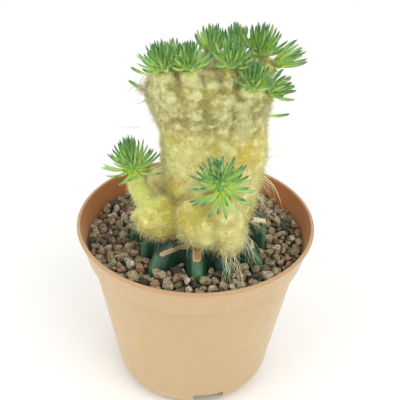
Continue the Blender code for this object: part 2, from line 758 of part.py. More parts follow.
def make_tuft(row, tree, taken, draw, made_of):
    """One head of leaves on a short green stem that stands just off its seat on the scion."""
    name, seat, way, count, length, stem, radius, tilt = row
    axis = Vector(way).normalized()
    foot = Vector(seat) + axis * SEAT_GAP
    stations = ((foot + axis * stem * level, radius * width) for level, width in STEM_SHAPE)
    rings = [ring(spot, size, STEM_SIDES, axis) for spot, size in stations]
    for attempt in range(TRIES):
        tuft = place_mesh(name, skin(rings), made_of)
        lines = leaves_of(row, tree, taken, draw)
        leaves = scratch_group("leaves")
        for line in lines:
            place_mesh("leaf", leaf_mesh(line), collection=leaves)
        if apply_boolean(tuft, leaves, "UNION"):
            taken += [spot for line in lines for spot in samples_of(line)]
            shade(tuft, 50)
            return
        bpy.data.objects.remove(tuft, do_unlink=True)
    raise RuntimeError(f"{name} did not join")


def make_tufts(scion):
    """Every tuft and single leaf, each bent clear of the scion and of the tufts made before it."""
    draw = random.Random(LEAF_SEED)
    tree = BVHTree.FromObject(scion, bpy.context.evaluated_depsgraph_get())
    green = finish("leaf_skin", (0.09, 0.3, 0.06), 0.45)
    taken = []
    for row in TUFTS[:FIRST_SINGLE_LEAF]:
        make_tuft(row, tree, taken, draw, green)
    for row in TUFTS[FIRST_SINGLE_LEAF:]:
        single_leaf(row, green)


def grain_rings(middle, size, draw):
    """Angular pebble: two jittered rings between two points, turned at random."""
    turn = Matrix.Rotation(draw.uniform(0, math.tau), 3, "Z")
    turn @= Matrix.Rotation(PEBBLE_LEAN * draw.uniform(-1, 1), 3, "X")
    stretch = [draw.uniform(*span) for span in PEBBLE_STRETCH]
    rings = []
    for height, width in PEBBLE_RINGS:
        points = []
        for step in range(PEBBLE_SIDES):
            angle = math.tau * (step + 0.5 * (height > 0)) / PEBBLE_SIDES
            reach = width * draw.uniform(*PEBBLE_UNEVENNESS)
            spot = Vector((reach * math.cos(angle), reach * math.sin(angle), height))
            stretched = Vector(spot[axis] * stretch[axis] * size for axis in range(3))
            points.append(Vector(middle) + turn @ stretched)
        if width == 0.0:
            points = [points[0]] * PEBBLE_SIDES
        rings.append(points)
    return rings


def inside_stock(spot):
    """Whether a point in plan lies within the stock's core or one of its ribs."""
    if spot.xy.length < STOCK_CORE_RADIUS:
        return True
    for angle, radius, corner_radius, corner_z in RIBS:
        local = Matrix.Rotation(math.radians(-angle), 3, "Z") @ spot
        if 0 < local.x < radius and abs(local.y) < RIB_SHOULDER_HALF:
            return True
    return False


def gravel_bed(made_of):
    """Flat bed of fine grit between the pot's wall and the stock."""
    lower_step = COLLAR_FOOT_Z + 1.0
    room = CLEARANCE + BED_TO_COLLAR
    profile = [
        (0.0, GRAVEL_FLOOR),
        (wall_radius_at(SUBSTRATE_TOP) - 2 * CLEARANCE, GRAVEL_FLOOR),
        (wall_radius_at(lower_step) - room, lower_step + CLEARANCE),
        (wall_radius_at(GRAVEL_BED_TOP) - room, GRAVEL_BED_TOP),
    ]
    profile += [(radius, GRAVEL_BED_TOP) for radius in BED_RINGS]
    return place_mesh("gravel", turn_profile(profile, POT_SIDES), made_of)


def scatter_pebbles(draw):
    """Rings of pebbles on the bed, from the pot's wall inwards, leaving out the stock."""
    pebbles = scratch_group("pebbles")
    outer = wall_radius_at(GRAVEL_BED_TOP) - CLEARANCE
    for row in range(math.ceil((outer - STOCK_CORE_RADIUS) / GRAIN_ROW_SPACING)):
        radius = outer - GRAIN_TO_WALL - row * GRAIN_ROW_SPACING
        count = round(math.tau * radius / GRAIN_SPACING)
        for step in range(count):
            angle = 360 * (step + 0.5 * (row % 2)) / count + GRAIN_SWING * draw.uniform(-1, 1)
            height = GRAVEL_BED_TOP + draw.uniform(*GRAIN_LIFT)
            spot = polar(radius - GRAIN_SHIFT * draw.random(), angle, height)
            size = GRAIN_SIZE * (1 + draw.uniform(*(GRAIN_SIZES if row else EDGE_GRAIN_SIZES)))
            if not inside_stock(spot):
                place_mesh("pebble", skin(grain_rings(spot, size, draw)), collection=pebbles)
    return pebbles


def stock_slots():
    """Straight-walled cutters a little wider than the stock's core and ribs."""
    slots = scratch_group("slots")
    low = GRAVEL_FLOOR - SLOT_DEPTH
    high = POT_HEIGHT
    core_radius = STOCK_CORE_RADIUS + SLOT_ROOM
    core = turn_profile([(0.0, low), (core_radius, low), (core_radius, high), (0.0, high)], STOCK_SIDES)
    place_mesh("slot", core, collection=slots)
    for angle, radius, corner_radius, corner_z in RIBS:
        slot = rib_rings(angle, ((radius, low), (radius, high)), grow=SLOT_ROOM)
        place_mesh("slot", skin(slot), collection=slots)
    return slots


def make_gravel():
    """Bed of grit with pebbles fused into its top, cut clear of the stock."""
    grit = finish("gravel_grit", (0.24, 0.19, 0.15), 0.9)
    for attempt in range(TRIES):
        gravel = gravel_bed(grit)
        pebbles = scatter_pebbles(random.Random(GRAIN_SEED + attempt))
        if apply_boolean(gravel, pebbles, "UNION") and apply_boolean(gravel, stock_slots(), "DIFFERENCE"):
            shade(gravel, 20)
            return
        bpy.data.objects.remove(gravel, do_unlink=True)
    raise RuntimeError("the gravel did not join")


def main():
    """Build the whole plant in its pot."""
    clear_scene()
    make_pot()
    make_substrate()
    stock = make_rootstock()
    make_gravel()
    scion = make_scion(stock)
    make_tufts(scion)


main()
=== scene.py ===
"""Looks of a crested woolly cactus graft in its nursery pot, modelled round the fixed frame.

Metres, +Z up, and -Y is the front. Sizes in the tables below are in millimetres, and MM turns them
into metres.
"""

import math
import random

import bmesh
import bpy
import numpy as np
from bpy.props import FloatProperty, FloatVectorProperty, IntProperty, PointerProperty
from mathutils import Matrix, Vector, noise
from mathutils.bvhtree import BVHTree
from mathutils.kdtree import KDTree


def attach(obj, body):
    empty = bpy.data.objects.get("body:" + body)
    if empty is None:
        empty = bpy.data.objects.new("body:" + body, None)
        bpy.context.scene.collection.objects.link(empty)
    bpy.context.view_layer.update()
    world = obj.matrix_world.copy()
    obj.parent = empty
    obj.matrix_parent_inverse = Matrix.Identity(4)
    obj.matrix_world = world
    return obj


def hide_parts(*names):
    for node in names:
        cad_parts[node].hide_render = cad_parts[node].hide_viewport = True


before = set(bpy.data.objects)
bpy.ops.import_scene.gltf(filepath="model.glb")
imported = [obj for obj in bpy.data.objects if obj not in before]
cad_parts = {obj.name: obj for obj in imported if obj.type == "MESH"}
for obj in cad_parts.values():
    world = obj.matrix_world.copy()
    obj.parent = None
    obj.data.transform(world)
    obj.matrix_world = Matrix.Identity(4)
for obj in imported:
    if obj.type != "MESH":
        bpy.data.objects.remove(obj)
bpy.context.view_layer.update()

bl_info = {
    "name": "Potted crested cactus graft",
    "version": (1, 0, 0),
    "blender": (4, 5, 0),
    "location": "3D View > Sidebar > Cactus",
    "description": "Models the finish of a woolly crested cactus, its graft stock, gravel and pot",
    "category": "Object",
}

MM = 0.001

# Camera, solved from the pot's ellipses in the 400 by 400 photograph
PHOTO_SIZE = 400
PHOTO_MIDDLE = 200
FOCAL_PIXELS = 946.33
CAMERA_ELEVATION = 34.71
CAMERA_ROLL = 1.46
AIM_PIXEL = (195.77, 219.49)
AIM_HEIGHT = 82.0
CAMERA_DISTANCE = 420.0
SENSOR_WIDTH = 36.0

# Pot
POT_HEIGHT = 82.0
LIP_RADIUS = 52.5
LIP_DEPTH = 1.7
LIP_PROUD = 0.5
LIP_ROUNDING = 0.85
LIP_EDGE_ROUNDING = 0.5
LIP_INNER_SETBACK = 1.75
COLLAR_TOP_SETBACK = 0.3
COLLAR_FOOT_RADIUS = 48.5
COLLAR_FOOT_Z = 68.0
BODY_TOP_RADIUS = 46.3
BODY_TOP_Z = 66.6
STEP_BLEND = 1.0
TAPER_FOOT_RADIUS = 35.7
EDGE_ROUNDING = 11.0
FOOT_RING_WIDTH = 2.4
FOOT_RING_DRAFT = 0.6
FLOOR_UNDERSIDE = 9.6
FLOOR_TOP = 11.0
FLOOR_FILLET = 0.8
WALL = 1.2
INNER_WALL_SHARE = 0.7
LIP_COLOUR_RISE = (-0.1, 0.4)
LIP_COLOUR_SPREAD = (-1.1, -0.7)
# Height and reach of the thin painted highlight line under the lip
LIP_HIGHLIGHT_DROP = 0.3
LIP_HIGHLIGHT_REACH = 0.5
NOTCH_COUNT = 3
NOTCH_WIDTH = 14.2
NOTCH_HEIGHT = 9.0
NOTCH_DEPTH = 16.0
NOTCH_FIRST_ANGLE = -77.0
DRAIN_COUNT = 6
DRAIN_RADIUS = 3.4
DRAIN_RING_RADIUS = 17.5

# Gravel: the bed, the layers of stones (middle height, smallest and largest radius, number tried for),
# and the large stones that the photograph shows (place, radius, colour share)
BED_FOOT = 66.3
BED_TOP = 70.9
BED_INNER_RADIUS = 18.0
BED_TO_WALL = 0.4
BED_SINK = 0.6
BED_RELIEF = 0.4
BED_RELIEF_SCALE = 400.0
LAYERS = (
    (71.4, 1.0, 1.8, 900),
    (73.1, 1.2, 2.6, 640),
)
LARGE_STONES = (
    ((-14.6, -30.0, 74.4), 3.1, 0.5),
    ((-11.3, -35.6, 73.8), 2.9, 0.93),
    ((4.5, -32.9, 73.4), 2.8, 0.5),
    ((31.2, -28.4, 73.6), 2.8, 0.95),
    ((-3.0, -33.9, 74.0), 1.9, 1.0),
    ((-23.2, -25.8, 73.9), 2.7, 0.72),
    ((-25.9, -30.8, 73.5), 2.6, 0.5),
)
STONE_SHAPES = 12
STONE_TRIES = 30
STONE_PACK = 0.84
STONE_TO_WALL = 0.25
STONE_TO_STOCK = 0.8
STONE_SIZE_FALL = 1.7
STONE_LIFT = (-0.6, 0.7)
STONE_LEAN = 0.7
STONE_FLATS = 9
STONE_FLAT_DEPTHS = (0.5, 0.84)
STONE_STRETCHES = ((0.95, 1.35), (0.78, 1.0), (0.66, 0.95))

# Lumps and roughness of a stone of unit radius: height and scale
STONE_LUMPS = (0.36, 1.4)
STONE_ROUGHNESS = (0.13, 4.0)

# Corky scars on the stock's trimmed ribs: ends of each scar, its half width, and how pale it is
SCARS = (
    ((-14.0, -23.7, 80.2), (-8.1, -20.1, 80.3), 1.15, 0.3),
    ((-8.1, -20.1, 80.3), (-5.2, -19.5, 81.0), 1.2, 0.1),
    ((-5.2, -19.5, 81.0), (-2.2, -20.1, 82.2), 1.4, 0.1),
    ((0.9, -26.0, 80.4), (0.9, -23.1, 82.3), 2.3, 0.0),
    ((22.8, -4.8, 86.4), (26.0, -7.9, 88.2), 1.2, 0.9),
    ((26.0, -7.9, 88.2), (30.8, -5.9, 86.2), 1.2, 0.9),
    ((22.0, -8.7, 82.1), (24.9, -17.7, 81.0), 1.0, 0.7),
)

# Painted highlight along a rib's edge: how far the edge faces outward, and its distance from the middle
RIB_HIGHLIGHT_FACING = (0.6, 0.95)
RIB_HIGHLIGHT_SPREAD = (24.0, 28.0)
STOCK_RELIEF = 0.25
STOCK_RELIEF_SCALE = 220.0

# Middle line of the left arm, which is greener than the rest
ARM_LINE = ((-21.0, -12.0, 99.0), (-25.9, -12.0, 111.6))
ARM_GREEN_REACH = (6.0, 9.0)
TUFT_GREEN_REACH = (2.0, 6.0)
CREST_FOOT_Z = 134.0
LOBE_TOP_Z = 104.0

# Heights over which the colour goes from the lobes' to the trunk's, and on to the crest's
TRUNK_BLEND = (98.0, 112.0)
CREST_BLEND = (126.0, 140.0)

# Hollow of the crest's left edge: from where on, and its depth
HOLLOW_ACROSS = (-20.0, -14.0)
HOLLOW_HEIGHT = (138.0, 144.0)
HOLLOW_DEPTH = 0.9
SCION_RELIEF = 0.18
SCION_RELIEF_SCALE = 620.0
PUFF_TRIES = 12000

# Shortest edge of a solid's bristle, and the widest foot of one
SPIKE_LENGTH = 3.0
SPIKE_FOOT = 2.2

# Pale and deep wool on the lobes, the trunk and the crest
PALE_WOOL = ((0.95, 0.91, 0.38), (0.87, 0.83, 0.36), (0.74, 0.72, 0.36))
DEEP_WOOL = ((0.64, 0.57, 0.1), (0.74, 0.6, 0.09), (0.42, 0.38, 0.07))
HAIR_TIP = (0.9, 0.86, 0.42)
DRY_CURL = (0.66, 0.42, 0.2)
DARK_CURL = (0.36, 0.16, 0.09)
PALE_BRISTLE = (0.97, 0.92, 0.52)
DARK_BRISTLE = (0.3, 0.2, 0.15)

# Pale (above zero) and deep patches on the front: place as (across, height), reach and strength. The two on
# the lobes are painted light and shade, the right lobe paler and the left deeper where the light falls from
# the right; the others are the wool's own patches
WOOL_AND_LIGHT_PATCHES = (
    ((16.0, 92.0), 12.0, 0.5),
    ((-18.0, 92.0), 9.0, -0.45),
    ((-6.5, 121.5), 4.6, 0.6),
    ((0.0, 129.6), 3.6, 0.5),
    ((18.6, 131.0), 3.4, 0.4),
    ((9.4, 136.0), 3.0, 0.4),
    ((13.0, 124.0), 4.0, 0.25),
    ((-10.0, 104.0), 3.2, -0.2),
    ((-6.0, 108.5), 2.6, -0.2),
    ((23.0, 131.0), 3.0, -0.4),
    ((6.0, 130.0), 2.8, -0.4),
)

# Furrows of the crest's front: ends of each as (across, height), and its half width
FURROWS = (
    ((-8.3, 160.0), (-7.4, 148.8), 1.0),
    ((-7.4, 148.8), (-4.5, 139.6), 1.1),
    ((-4.5, 139.6), (-4.0, 136.6), 1.1),
    ((1.3, 160.2), (2.0, 150.9), 0.9),
    ((2.0, 150.9), (3.0, 143.5), 0.8),
    ((3.0, 143.5), (5.8, 139.2), 1.2),
    ((14.7, 154.6), (15.3, 149.4), 0.9),
    ((15.3, 149.4), (13.1, 135.0), 0.8),
    ((0.8, 135.0), (9.4, 137.6), 0.9),
)

# Leaf tufts: name, seat, direction, leaf count, leaf length, leafy stem's length and radius, widest tilt
# and plumpness. OPEN_TUFTS are those whose leaves turn upright late
SEAT_GAP = 0.35
TUFTS = (
    ("tuft_arm_left", (-25.9, -12.0, 111.6), (-0.18, 0.0, 1.0), 76, 12.0, 9.5, 3.0, 100, 0.88),
    ("tuft_arm_front", (11.0, -28.4, 112.5), (-0.2, -0.32, 1.0), 72, 13.5, 17.0, 3.1, 114, 1.15),
    ("tuft_crest_left", (-14.2, -7.0, 158.2), (-0.22, -0.1, 1.0), 50, 10.5, 3.6, 3.6, 76, 0.86),
    ("tuft_crest_front_left", (-4.0, -9.0, 160.0), (0.0, -0.24, 1.0), 46, 10.0, 3.6, 3.4, 72, 0.86),
    ("tuft_crest_front_right", (12.4, -8.6, 161.0), (0.06, -0.2, 1.0), 50, 11.0, 3.6, 3.6, 74, 0.88),
    ("tuft_crest_rear_left", (4.6, 8.4, 158.4), (0.0, 0.2, 1.0), 26, 10.4, 3.6, 3.2, 62, 1.0),
    ("tuft_crest_rear_right", (14.6, 9.0, 159.0), (0.02, 0.26, 1.0), 34, 10.5, 3.6, 3.2, 70, 0.95),
    ("tuft_shoulder_top", (23.8, 2.0, 161.2), (0.14, 0.0, 1.0), 46, 11.4, 4.0, 3.6, 70, 0.95),
    ("tuft_shoulder_edge", (29.6, -0.8, 158.4), (1.0, 0.0, 0.55), 14, 12.5, 3.0, 2.4, 44, 1.15),
    ("tuft_shoulder_front", (21.0, -12.8, 154.4), (0.1, -0.36, 1.0), 44, 10.0, 3.8, 3.4, 68, 0.9),
    ("tuft_shoulder_side", (27.8, -9.8, 150.6), (0.88, -0.42, 0.65), 24, 9.8, 3.2, 2.9, 58, 1.1),
    ("tuft_back_left", (-10.0, 15.8, 149.0), (-0.25, 1.0, 0.7), 34, 10.5, 3.4, 3.2, 76, 1.0),
    ("tuft_back_right", (12.3, 18.2, 147.0), (0.2, 1.0, 0.5), 34, 10.5, 3.4, 3.2, 76, 1.0),
)
SINGLE_LEAVES = (
    ("leaf_right", (28.7, -3.0, 136.6), (1.0, -0.1, 0.1), 8.5),
    ("leaf_left", (-22.6, -3.0, 147.6), (-1.0, -0.2, 0.6), 6.5),
    ("leaf_left_upper", (-21.6, -2.0, 153.6), (-1.0, 0.0, 0.35), 6.0),
)
OPEN_TUFTS = ("tuft_arm_front",)
LEAF_TURN = 137.5
LEAF_ROOM = 0.9
LEAF_BEND_SHARE = 0.55
LEAF_UPSWEEP = 38.0
TOP_LEAF_TILT = 8.0

# Length of a tuft's top leaves beside its lowest, and how late its leaves turn upright
CLOSED_TUFT = (0.85, 1.05)
OPEN_TUFT = (0.45, 1.35)
TILT_STEP = 7.0
TILT_STEPS = 9

WAVE_TURNS = 9.0
BRISTLE_WAVE = 0.5

# Long bristles that the photograph shows: root, middle and tip, number in the bundle, spread, darkness
# and radius
BRISTLES = (
    ((15.6, -28.5, 85.5), (17.4, -33.0, 81.0), (17.6, -39.0, 72.8), 14, 5.4, 0.0, 0.075),
    ((13.6, -30.0, 84.5), (13.4, -34.0, 79.5), (13.6, -38.0, 74.6), 8, 3.4, 0.0, 0.075),
    ((20.0, -20.0, 89.0), (24.0, -23.0, 83.0), (26.0, -22.0, 73.0), 16, 4.0, 0.0, 0.07),
    ((23.0, -12.0, 91.0), (27.0, -14.0, 90.0), (31.0, -13.0, 86.0), 16, 3.8, 0.0, 0.065),
    ((27.8, -2.0, 107.4), (34.4, -4.0, 104.6), (38.7, -6.0, 89.7), 2, 0.5, 0.0, 0.11),
    ((26.8, -2.0, 105.0), (31.0, -4.0, 106.0), (33.6, -5.0, 98.0), 10, 2.4, 0.1, 0.07),
    ((26.0, -4.0, 98.0), (30.0, -6.0, 99.0), (29.6, -8.0, 92.0), 16, 3.0, 0.1, 0.07),
    ((24.5, 0.0, 115.0), (35.0, 0.0, 122.5), (45.4, 0.0, 124.6), 3, 1.8, 0.6, 0.08),
    ((23.5, 0.0, 112.5), (34.0, 0.0, 116.5), (45.4, 0.0, 116.6), 2, 2.0, 0.6, 0.08),
    ((-24.0, 0.0, 128.0), (-34.0, 0.0, 128.6), (-44.1, 0.0, 124.2), 2, 1.6, 0.6, 0.08),
    ((-25.0, -3.0, 148.6), (-29.6, -3.0, 147.6), (-28.2, -3.0, 143.2), 1, 0.0, 1.0, 0.17),
    ((-22.6, -3.0, 147.0), (-25.8, -3.0, 147.4), (-24.0, -3.0, 144.0), 1, 0.0, 1.0, 0.17),
    ((-21.4, -3.0, 142.4), (-25.0, -3.0, 140.0), (-28.0, -3.0, 141.2), 1, 0.0, 1.0, 0.17),
    ((-14.6, -12.0, 138.6), (-17.6, -13.0, 135.6), (-20.0, -11.0, 137.4), 1, 0.0, 0.9, 0.14),
    ((-20.5, -4.0, 147.0), (-24.5, -3.0, 149.0), (-24.0, -3.0, 151.0), 34, 5.4, 0.8, 0.085),
    ((-14.0, -6.0, 136.0), (-17.5, -6.0, 137.0), (-18.0, -6.0, 135.0), 14, 4.0, 0.7, 0.075),
    ((-14.0, -8.0, 100.5), (-17.5, -11.5, 107.5), (-20.7, -12.0, 114.5), 9, 2.2, 0.85, 0.08),
)


def colour_property(name, description, default):
    """Colour that the panel shows."""
    return FloatVectorProperty(
        name=name, description=description, default=default, subtype="COLOR", size=3, min=0.0, max=1.0
    )


class GraftPot(bpy.types.PropertyGroup):
    """Plastic nursery pot."""

    outside: colour_property(
        name="Outside", description="Colour of the outer wall", default=(0.5, 0.345, 0.17)
    )
    inside: colour_property(
        name="Inside", description="Colour of the inner wall", default=(0.5, 0.19, 0.062)
    )
    lip: colour_property(name="Lip", description="Colour of the rolled lip", default=(0.42, 0.26, 0.13))
    # The thin orange line under the lip is a painted highlight
    seam: colour_property(
        name="Seam", description="Colour of the thin line under the lip", default=(0.6, 0.25, 0.12)
    )
    steps: IntProperty(name="Steps", description="Sides of the turned wall", default=144, min=24)


class GraftGravel(bpy.types.PropertyGroup):
    """Top dressing of lava and pumice grit."""

    dark: colour_property(name="Dark", description="Darkest lava", default=(0.05, 0.045, 0.03))
    brown: colour_property(name="Brown", description="Grey-brown lava", default=(0.34, 0.285, 0.18))
    red: colour_property(name="Red", description="Reddish lava", default=(0.34, 0.21, 0.135))
    pale: colour_property(name="Pale", description="Pale pumice", default=(0.5, 0.46, 0.36))
    seed: IntProperty(name="Seed", description="Seed of the scatter", default=4)


class GraftStock(bpy.types.PropertyGroup):
    """Ribbed graft stock."""

    skin: colour_property(
        name="Skin", description="Colour of the ribs' sides", default=(0.012, 0.045, 0.024)
    )
    # Edge is the colour of the painted highlight along the ribs' edges
    edge: colour_property(name="Edge", description="Colour along the ribs' edges", default=(0.06, 0.2, 0.08))
    scar: colour_property(name="Scar", description="Colour of the corky scars", default=(0.52, 0.38, 0.18))
    pith: colour_property(
        name="Pith", description="Colour in the middle of the scars", default=(0.3, 0.15, 0.06)
    )
    pale: colour_property(name="Pale", description="Colour of the freshest scars", default=(0.72, 0.6, 0.42))
    grain: FloatProperty(
        name="Grain", description="Size of the faces of the fine skin",
        default=0.0006, min=0.0002, unit="LENGTH",
    )


class GraftScion(bpy.types.PropertyGroup):
    """Woolly crested body."""

    young: colour_property(
        name="Young", description="Green of the young growth under the leaves", default=(0.55, 0.63, 0.14)
    )
    grain: FloatProperty(
        name="Grain", description="Size of the faces of the fine body",
        default=0.0006, min=0.0002, unit="LENGTH",
    )
    puff: FloatProperty(
        name="Puff", description="Height of the woolly tubercles", default=0.0007, min=0.0, unit="LENGTH"
    )
    fold: FloatProperty(
        name="Fold", description="Height of the crest's pleats", default=0.0011, min=0.0, unit="LENGTH"
    )
    pleats: FloatProperty(name="Pleats", description="Patches of wool in a metre", default=115.0, min=1.0)
    wide: FloatProperty(
        name="Wide", description="Spacing of the tubercles at the lobes",
        default=0.0065, min=0.002, unit="LENGTH",
    )
    narrow: FloatProperty(
        name="Narrow", description="Spacing of the tubercles on the crest",
        default=0.0046, min=0.002, unit="LENGTH",
    )
    fuzz: IntProperty(name="Fuzz", description="Number of short wool hairs", default=49000, min=0)
    hairs: IntProperty(name="Hairs", description="Number of curved wool hairs", default=16300, min=0)
    fringe: IntProperty(name="Fringe", description="Number of long hairs low down", default=3500, min=0)
    curls: IntProperty(name="Curls", description="Number of dry brown curls", default=3200, min=0)
    seed: IntProperty(name="Seed", description="Seed of the wool", default=3)


class GraftLeaves(bpy.types.PropertyGroup):
    """Tufts of awl-shaped leaves."""

    root: colour_property(name="Root", description="Colour at a leaf's root", default=(0.56, 0.72, 0.12))
    middle: colour_property(
        name="Middle", description="Colour half way along a leaf", default=(0.18, 0.4, 0.09)
    )
    pale: colour_property(
        name="Pale", description="Colour half way along the palest leaves", default=(0.46, 0.62, 0.24)
    )
    tip: colour_property(name="Tip", description="Colour at a leaf's tip", default=(0.045, 0.1, 0.055))
    half: FloatProperty(
        name="Half width", description="Half a leaf's width", default=0.0007, min=0.0002, unit="LENGTH"
    )
    seed: IntProperty(name="Seed", description="Seed of the tufts", default=6)


class GraftStage(bpy.types.PropertyGroup):
    """Floor and lights."""

    floor: colour_property(name="Floor", description="Colour of the floor", default=(0.9, 0.9, 0.89))
    ambient: FloatProperty(
        name="Ambient", description="Strength of the light from all round", default=0.94, min=0.0
    )
    key: FloatProperty(
        name="Key", description="Power of the main soft light", default=3.8, min=0.0, unit="POWER"
    )
    fill: FloatProperty(
        name="Fill", description="Power of the filling light", default=2.2, min=0.0, unit="POWER"
    )


def polar(radius, angle, height):
    """Point at an angle in degrees round the Z axis."""
    turn = math.radians(angle)
    return Vector((radius * math.cos(turn), radius * math.sin(turn), height))


def object_of(data, name):
    """Object for a mesh, a light or a camera, linked to the scene."""
    item = bpy.data.objects.new(name, data)
    bpy.context.scene.collection.objects.link(item)
    return item


def mesh_of(bm, name, scale=MM):
    """Mesh from a bmesh, in metres if that was drawn in millimetres."""
    bmesh.ops.scale(bm, vec=(scale, scale, scale), verts=bm.verts)
    mesh = bpy.data.meshes.new(name)
    bm.to_mesh(mesh)
    bm.free()
    return mesh


def apply_modifiers(item):
    """Fix an object's modifiers in its mesh."""
    graph = bpy.context.evaluated_depsgraph_get()
    final = item.evaluated_get(graph)
    mesh = bpy.data.meshes.new_from_object(final, preserve_all_data_layers=True, depsgraph=graph)
    item.modifiers.clear()
    item.data = mesh
    return mesh


def place(item, slot, material, *nodes):
    """Give a finished piece its material, its body and the nodes that it stands for, which it hides; the slot
    is not used.
    """
    item.data.materials.clear()
    item.data.materials.append(material)
    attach(item, "root")
    if nodes:
        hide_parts(*nodes)
    return item


def points_of(mesh):
    """Vertex places of a mesh as an array."""
    flat = np.empty(len(mesh.vertices) * 3)
    mesh.vertices.foreach_get("co", flat)
    return flat.reshape(-1, 3)


def normals_of(mesh):
    """Vertex normals of a mesh as an array."""
    flat = np.empty(len(mesh.vertices) * 3)
    mesh.vertices.foreach_get("normal", flat)
    return flat.reshape(-1, 3)


def set_points(mesh, points):
    """Move the vertices of a mesh."""
    mesh.vertices.foreach_set("co", np.ascontiguousarray(points, dtype=np.float32).ravel())
    mesh.update()


def paint(mesh, name, values):
    """Store one number for each vertex, for the materials to read."""
    layer = mesh.attributes.get(name) or mesh.attributes.new(name, "FLOAT", "POINT")
    layer.data.foreach_set("value", np.ascontiguousarray(values, dtype=np.float32))


def painted(mesh, name):
    """Numbers that paint stored."""
    values = np.empty(len(mesh.vertices))
    mesh.attributes[name].data.foreach_get("value", values)
    return values


def unit(vectors):
    """Vectors of an array at length one."""
    return vectors / np.maximum(np.linalg.norm(vectors, axis=-1, keepdims=True), 1e-12)


def rising(values, low, high):
    """Share from 0 to 1 of the way from low to high."""
    return np.clip((values - low) / (high - low), 0, 1)


def noise_on(points, scale):
    """Smooth noise at each point, from about -1 to 1."""
    return np.array([noise.noise(Vector(point) * scale) for point in points])


def copies_of(bm, count, name):
    """Mesh of a shape and its copies, one after the other, made by an Array modifier."""
    item = object_of(mesh_of(bm, name, 1.0), name)
    array = item.modifiers.new("copies", "ARRAY")
    array.count = count
    array.use_relative_offset = False
    array.use_merge_vertices = False
    mesh = apply_modifiers(item)
    bpy.data.objects.remove(item, do_unlink=True)
    return mesh


def straight_tube(sides, rings):
    """Closed tube of unit radius from z 0 to a point at z 1."""
    bm = bmesh.new()
    bmesh.ops.create_circle(bm, cap_ends=True, segments=sides, radius=1.0)
    bmesh.ops.reverse_faces(bm, faces=bm.faces)
    edges = list(bm.edges)
    for _ in range(rings):
        made = bmesh.ops.extrude_edge_only(bm, edges=edges)["geom"]
        verts = [part for part in made if isinstance(part, bmesh.types.BMVert)]
        edges = [part for part in made if isinstance(part, bmesh.types.BMEdge)]
        bmesh.ops.translate(bm, vec=(0, 0, 1 / rings), verts=verts)
    bmesh.ops.pointmerge(bm, verts=verts, merge_co=(0, 0, 1.0))
    bmesh.ops.recalc_face_normals(bm, faces=bm.faces)
    return bm


def strands(name, curves, radii, shades, sides=3, rings=2, profile=None, wave=0.0):
    """Mesh of many tapered strands, each along its own curve of root, middle and tip, and wavy if asked."""
    count = len(curves)
    bm = straight_tube(sides, rings)
    straight = np.array([vert.co[:] for vert in bm.verts])
    mesh = copies_of(bm, count, name)
    along = straight[:, 2]
    width = profile(along) if profile else 1.0 - 0.8 * along
    root, middle, tip = (curves[:, index, None, :] for index in range(3))
    share = along[None, :, None]
    line = root * (1 - share) ** 2 + middle * 2 * share * (1 - share) + tip * share**2
    heading = unit((middle - root) * (1 - share) + (tip - middle) * share)
    steady = np.random.default_rng(count).normal(size=(count, 1, 3))
    across = unit(np.cross(heading, steady))
    upward = np.cross(heading, across)
    line = line + wave * share * np.sin(share * (WAVE_TURNS + 2 * steady[:, :, 0:1])) * upward
    reach = radii[:, None, None] * width[None, :, None]
    points = line + reach * (across * straight[None, :, 0:1] + upward * straight[None, :, 1:2])
    set_points(mesh, points.reshape(-1, 3))
    paint(mesh, "along", np.tile(along, count))
    paint(mesh, "shade", np.repeat(shades, len(along)))
    mesh.shade_smooth()
    return mesh


def surface_samples(mesh, count, draw, weights=None):
    """Random places on a mesh: their points, normals, and the mesh's vertex index nearest each."""
    mesh.calc_loop_triangles()
    corners = np.empty(len(mesh.loop_triangles) * 3, dtype=np.int64)
    mesh.loop_triangles.foreach_get("vertices", corners)
    corners = corners.reshape(-1, 3)
    points = points_of(mesh)
    normals = normals_of(mesh)
    a, b, c = (points[corners[:, index]] for index in range(3))
    areas = np.linalg.norm(np.cross(b - a, c - a), axis=1)
    if weights is not None:
        areas = areas * weights[corners].mean(axis=1)
    picked = draw.choice(len(corners), size=count, p=areas / areas.sum())
    first = np.sqrt(draw.random(count))
    second = draw.random(count)
    mixes = np.stack([1 - first, first * (1 - second), first * second], axis=1)
    spots = (points[corners[picked]] * mixes[:, :, None]).sum(axis=1)
    ways = unit((normals[corners[picked]] * mixes[:, :, None]).sum(axis=1))
    return spots, ways, corners[picked, 0]


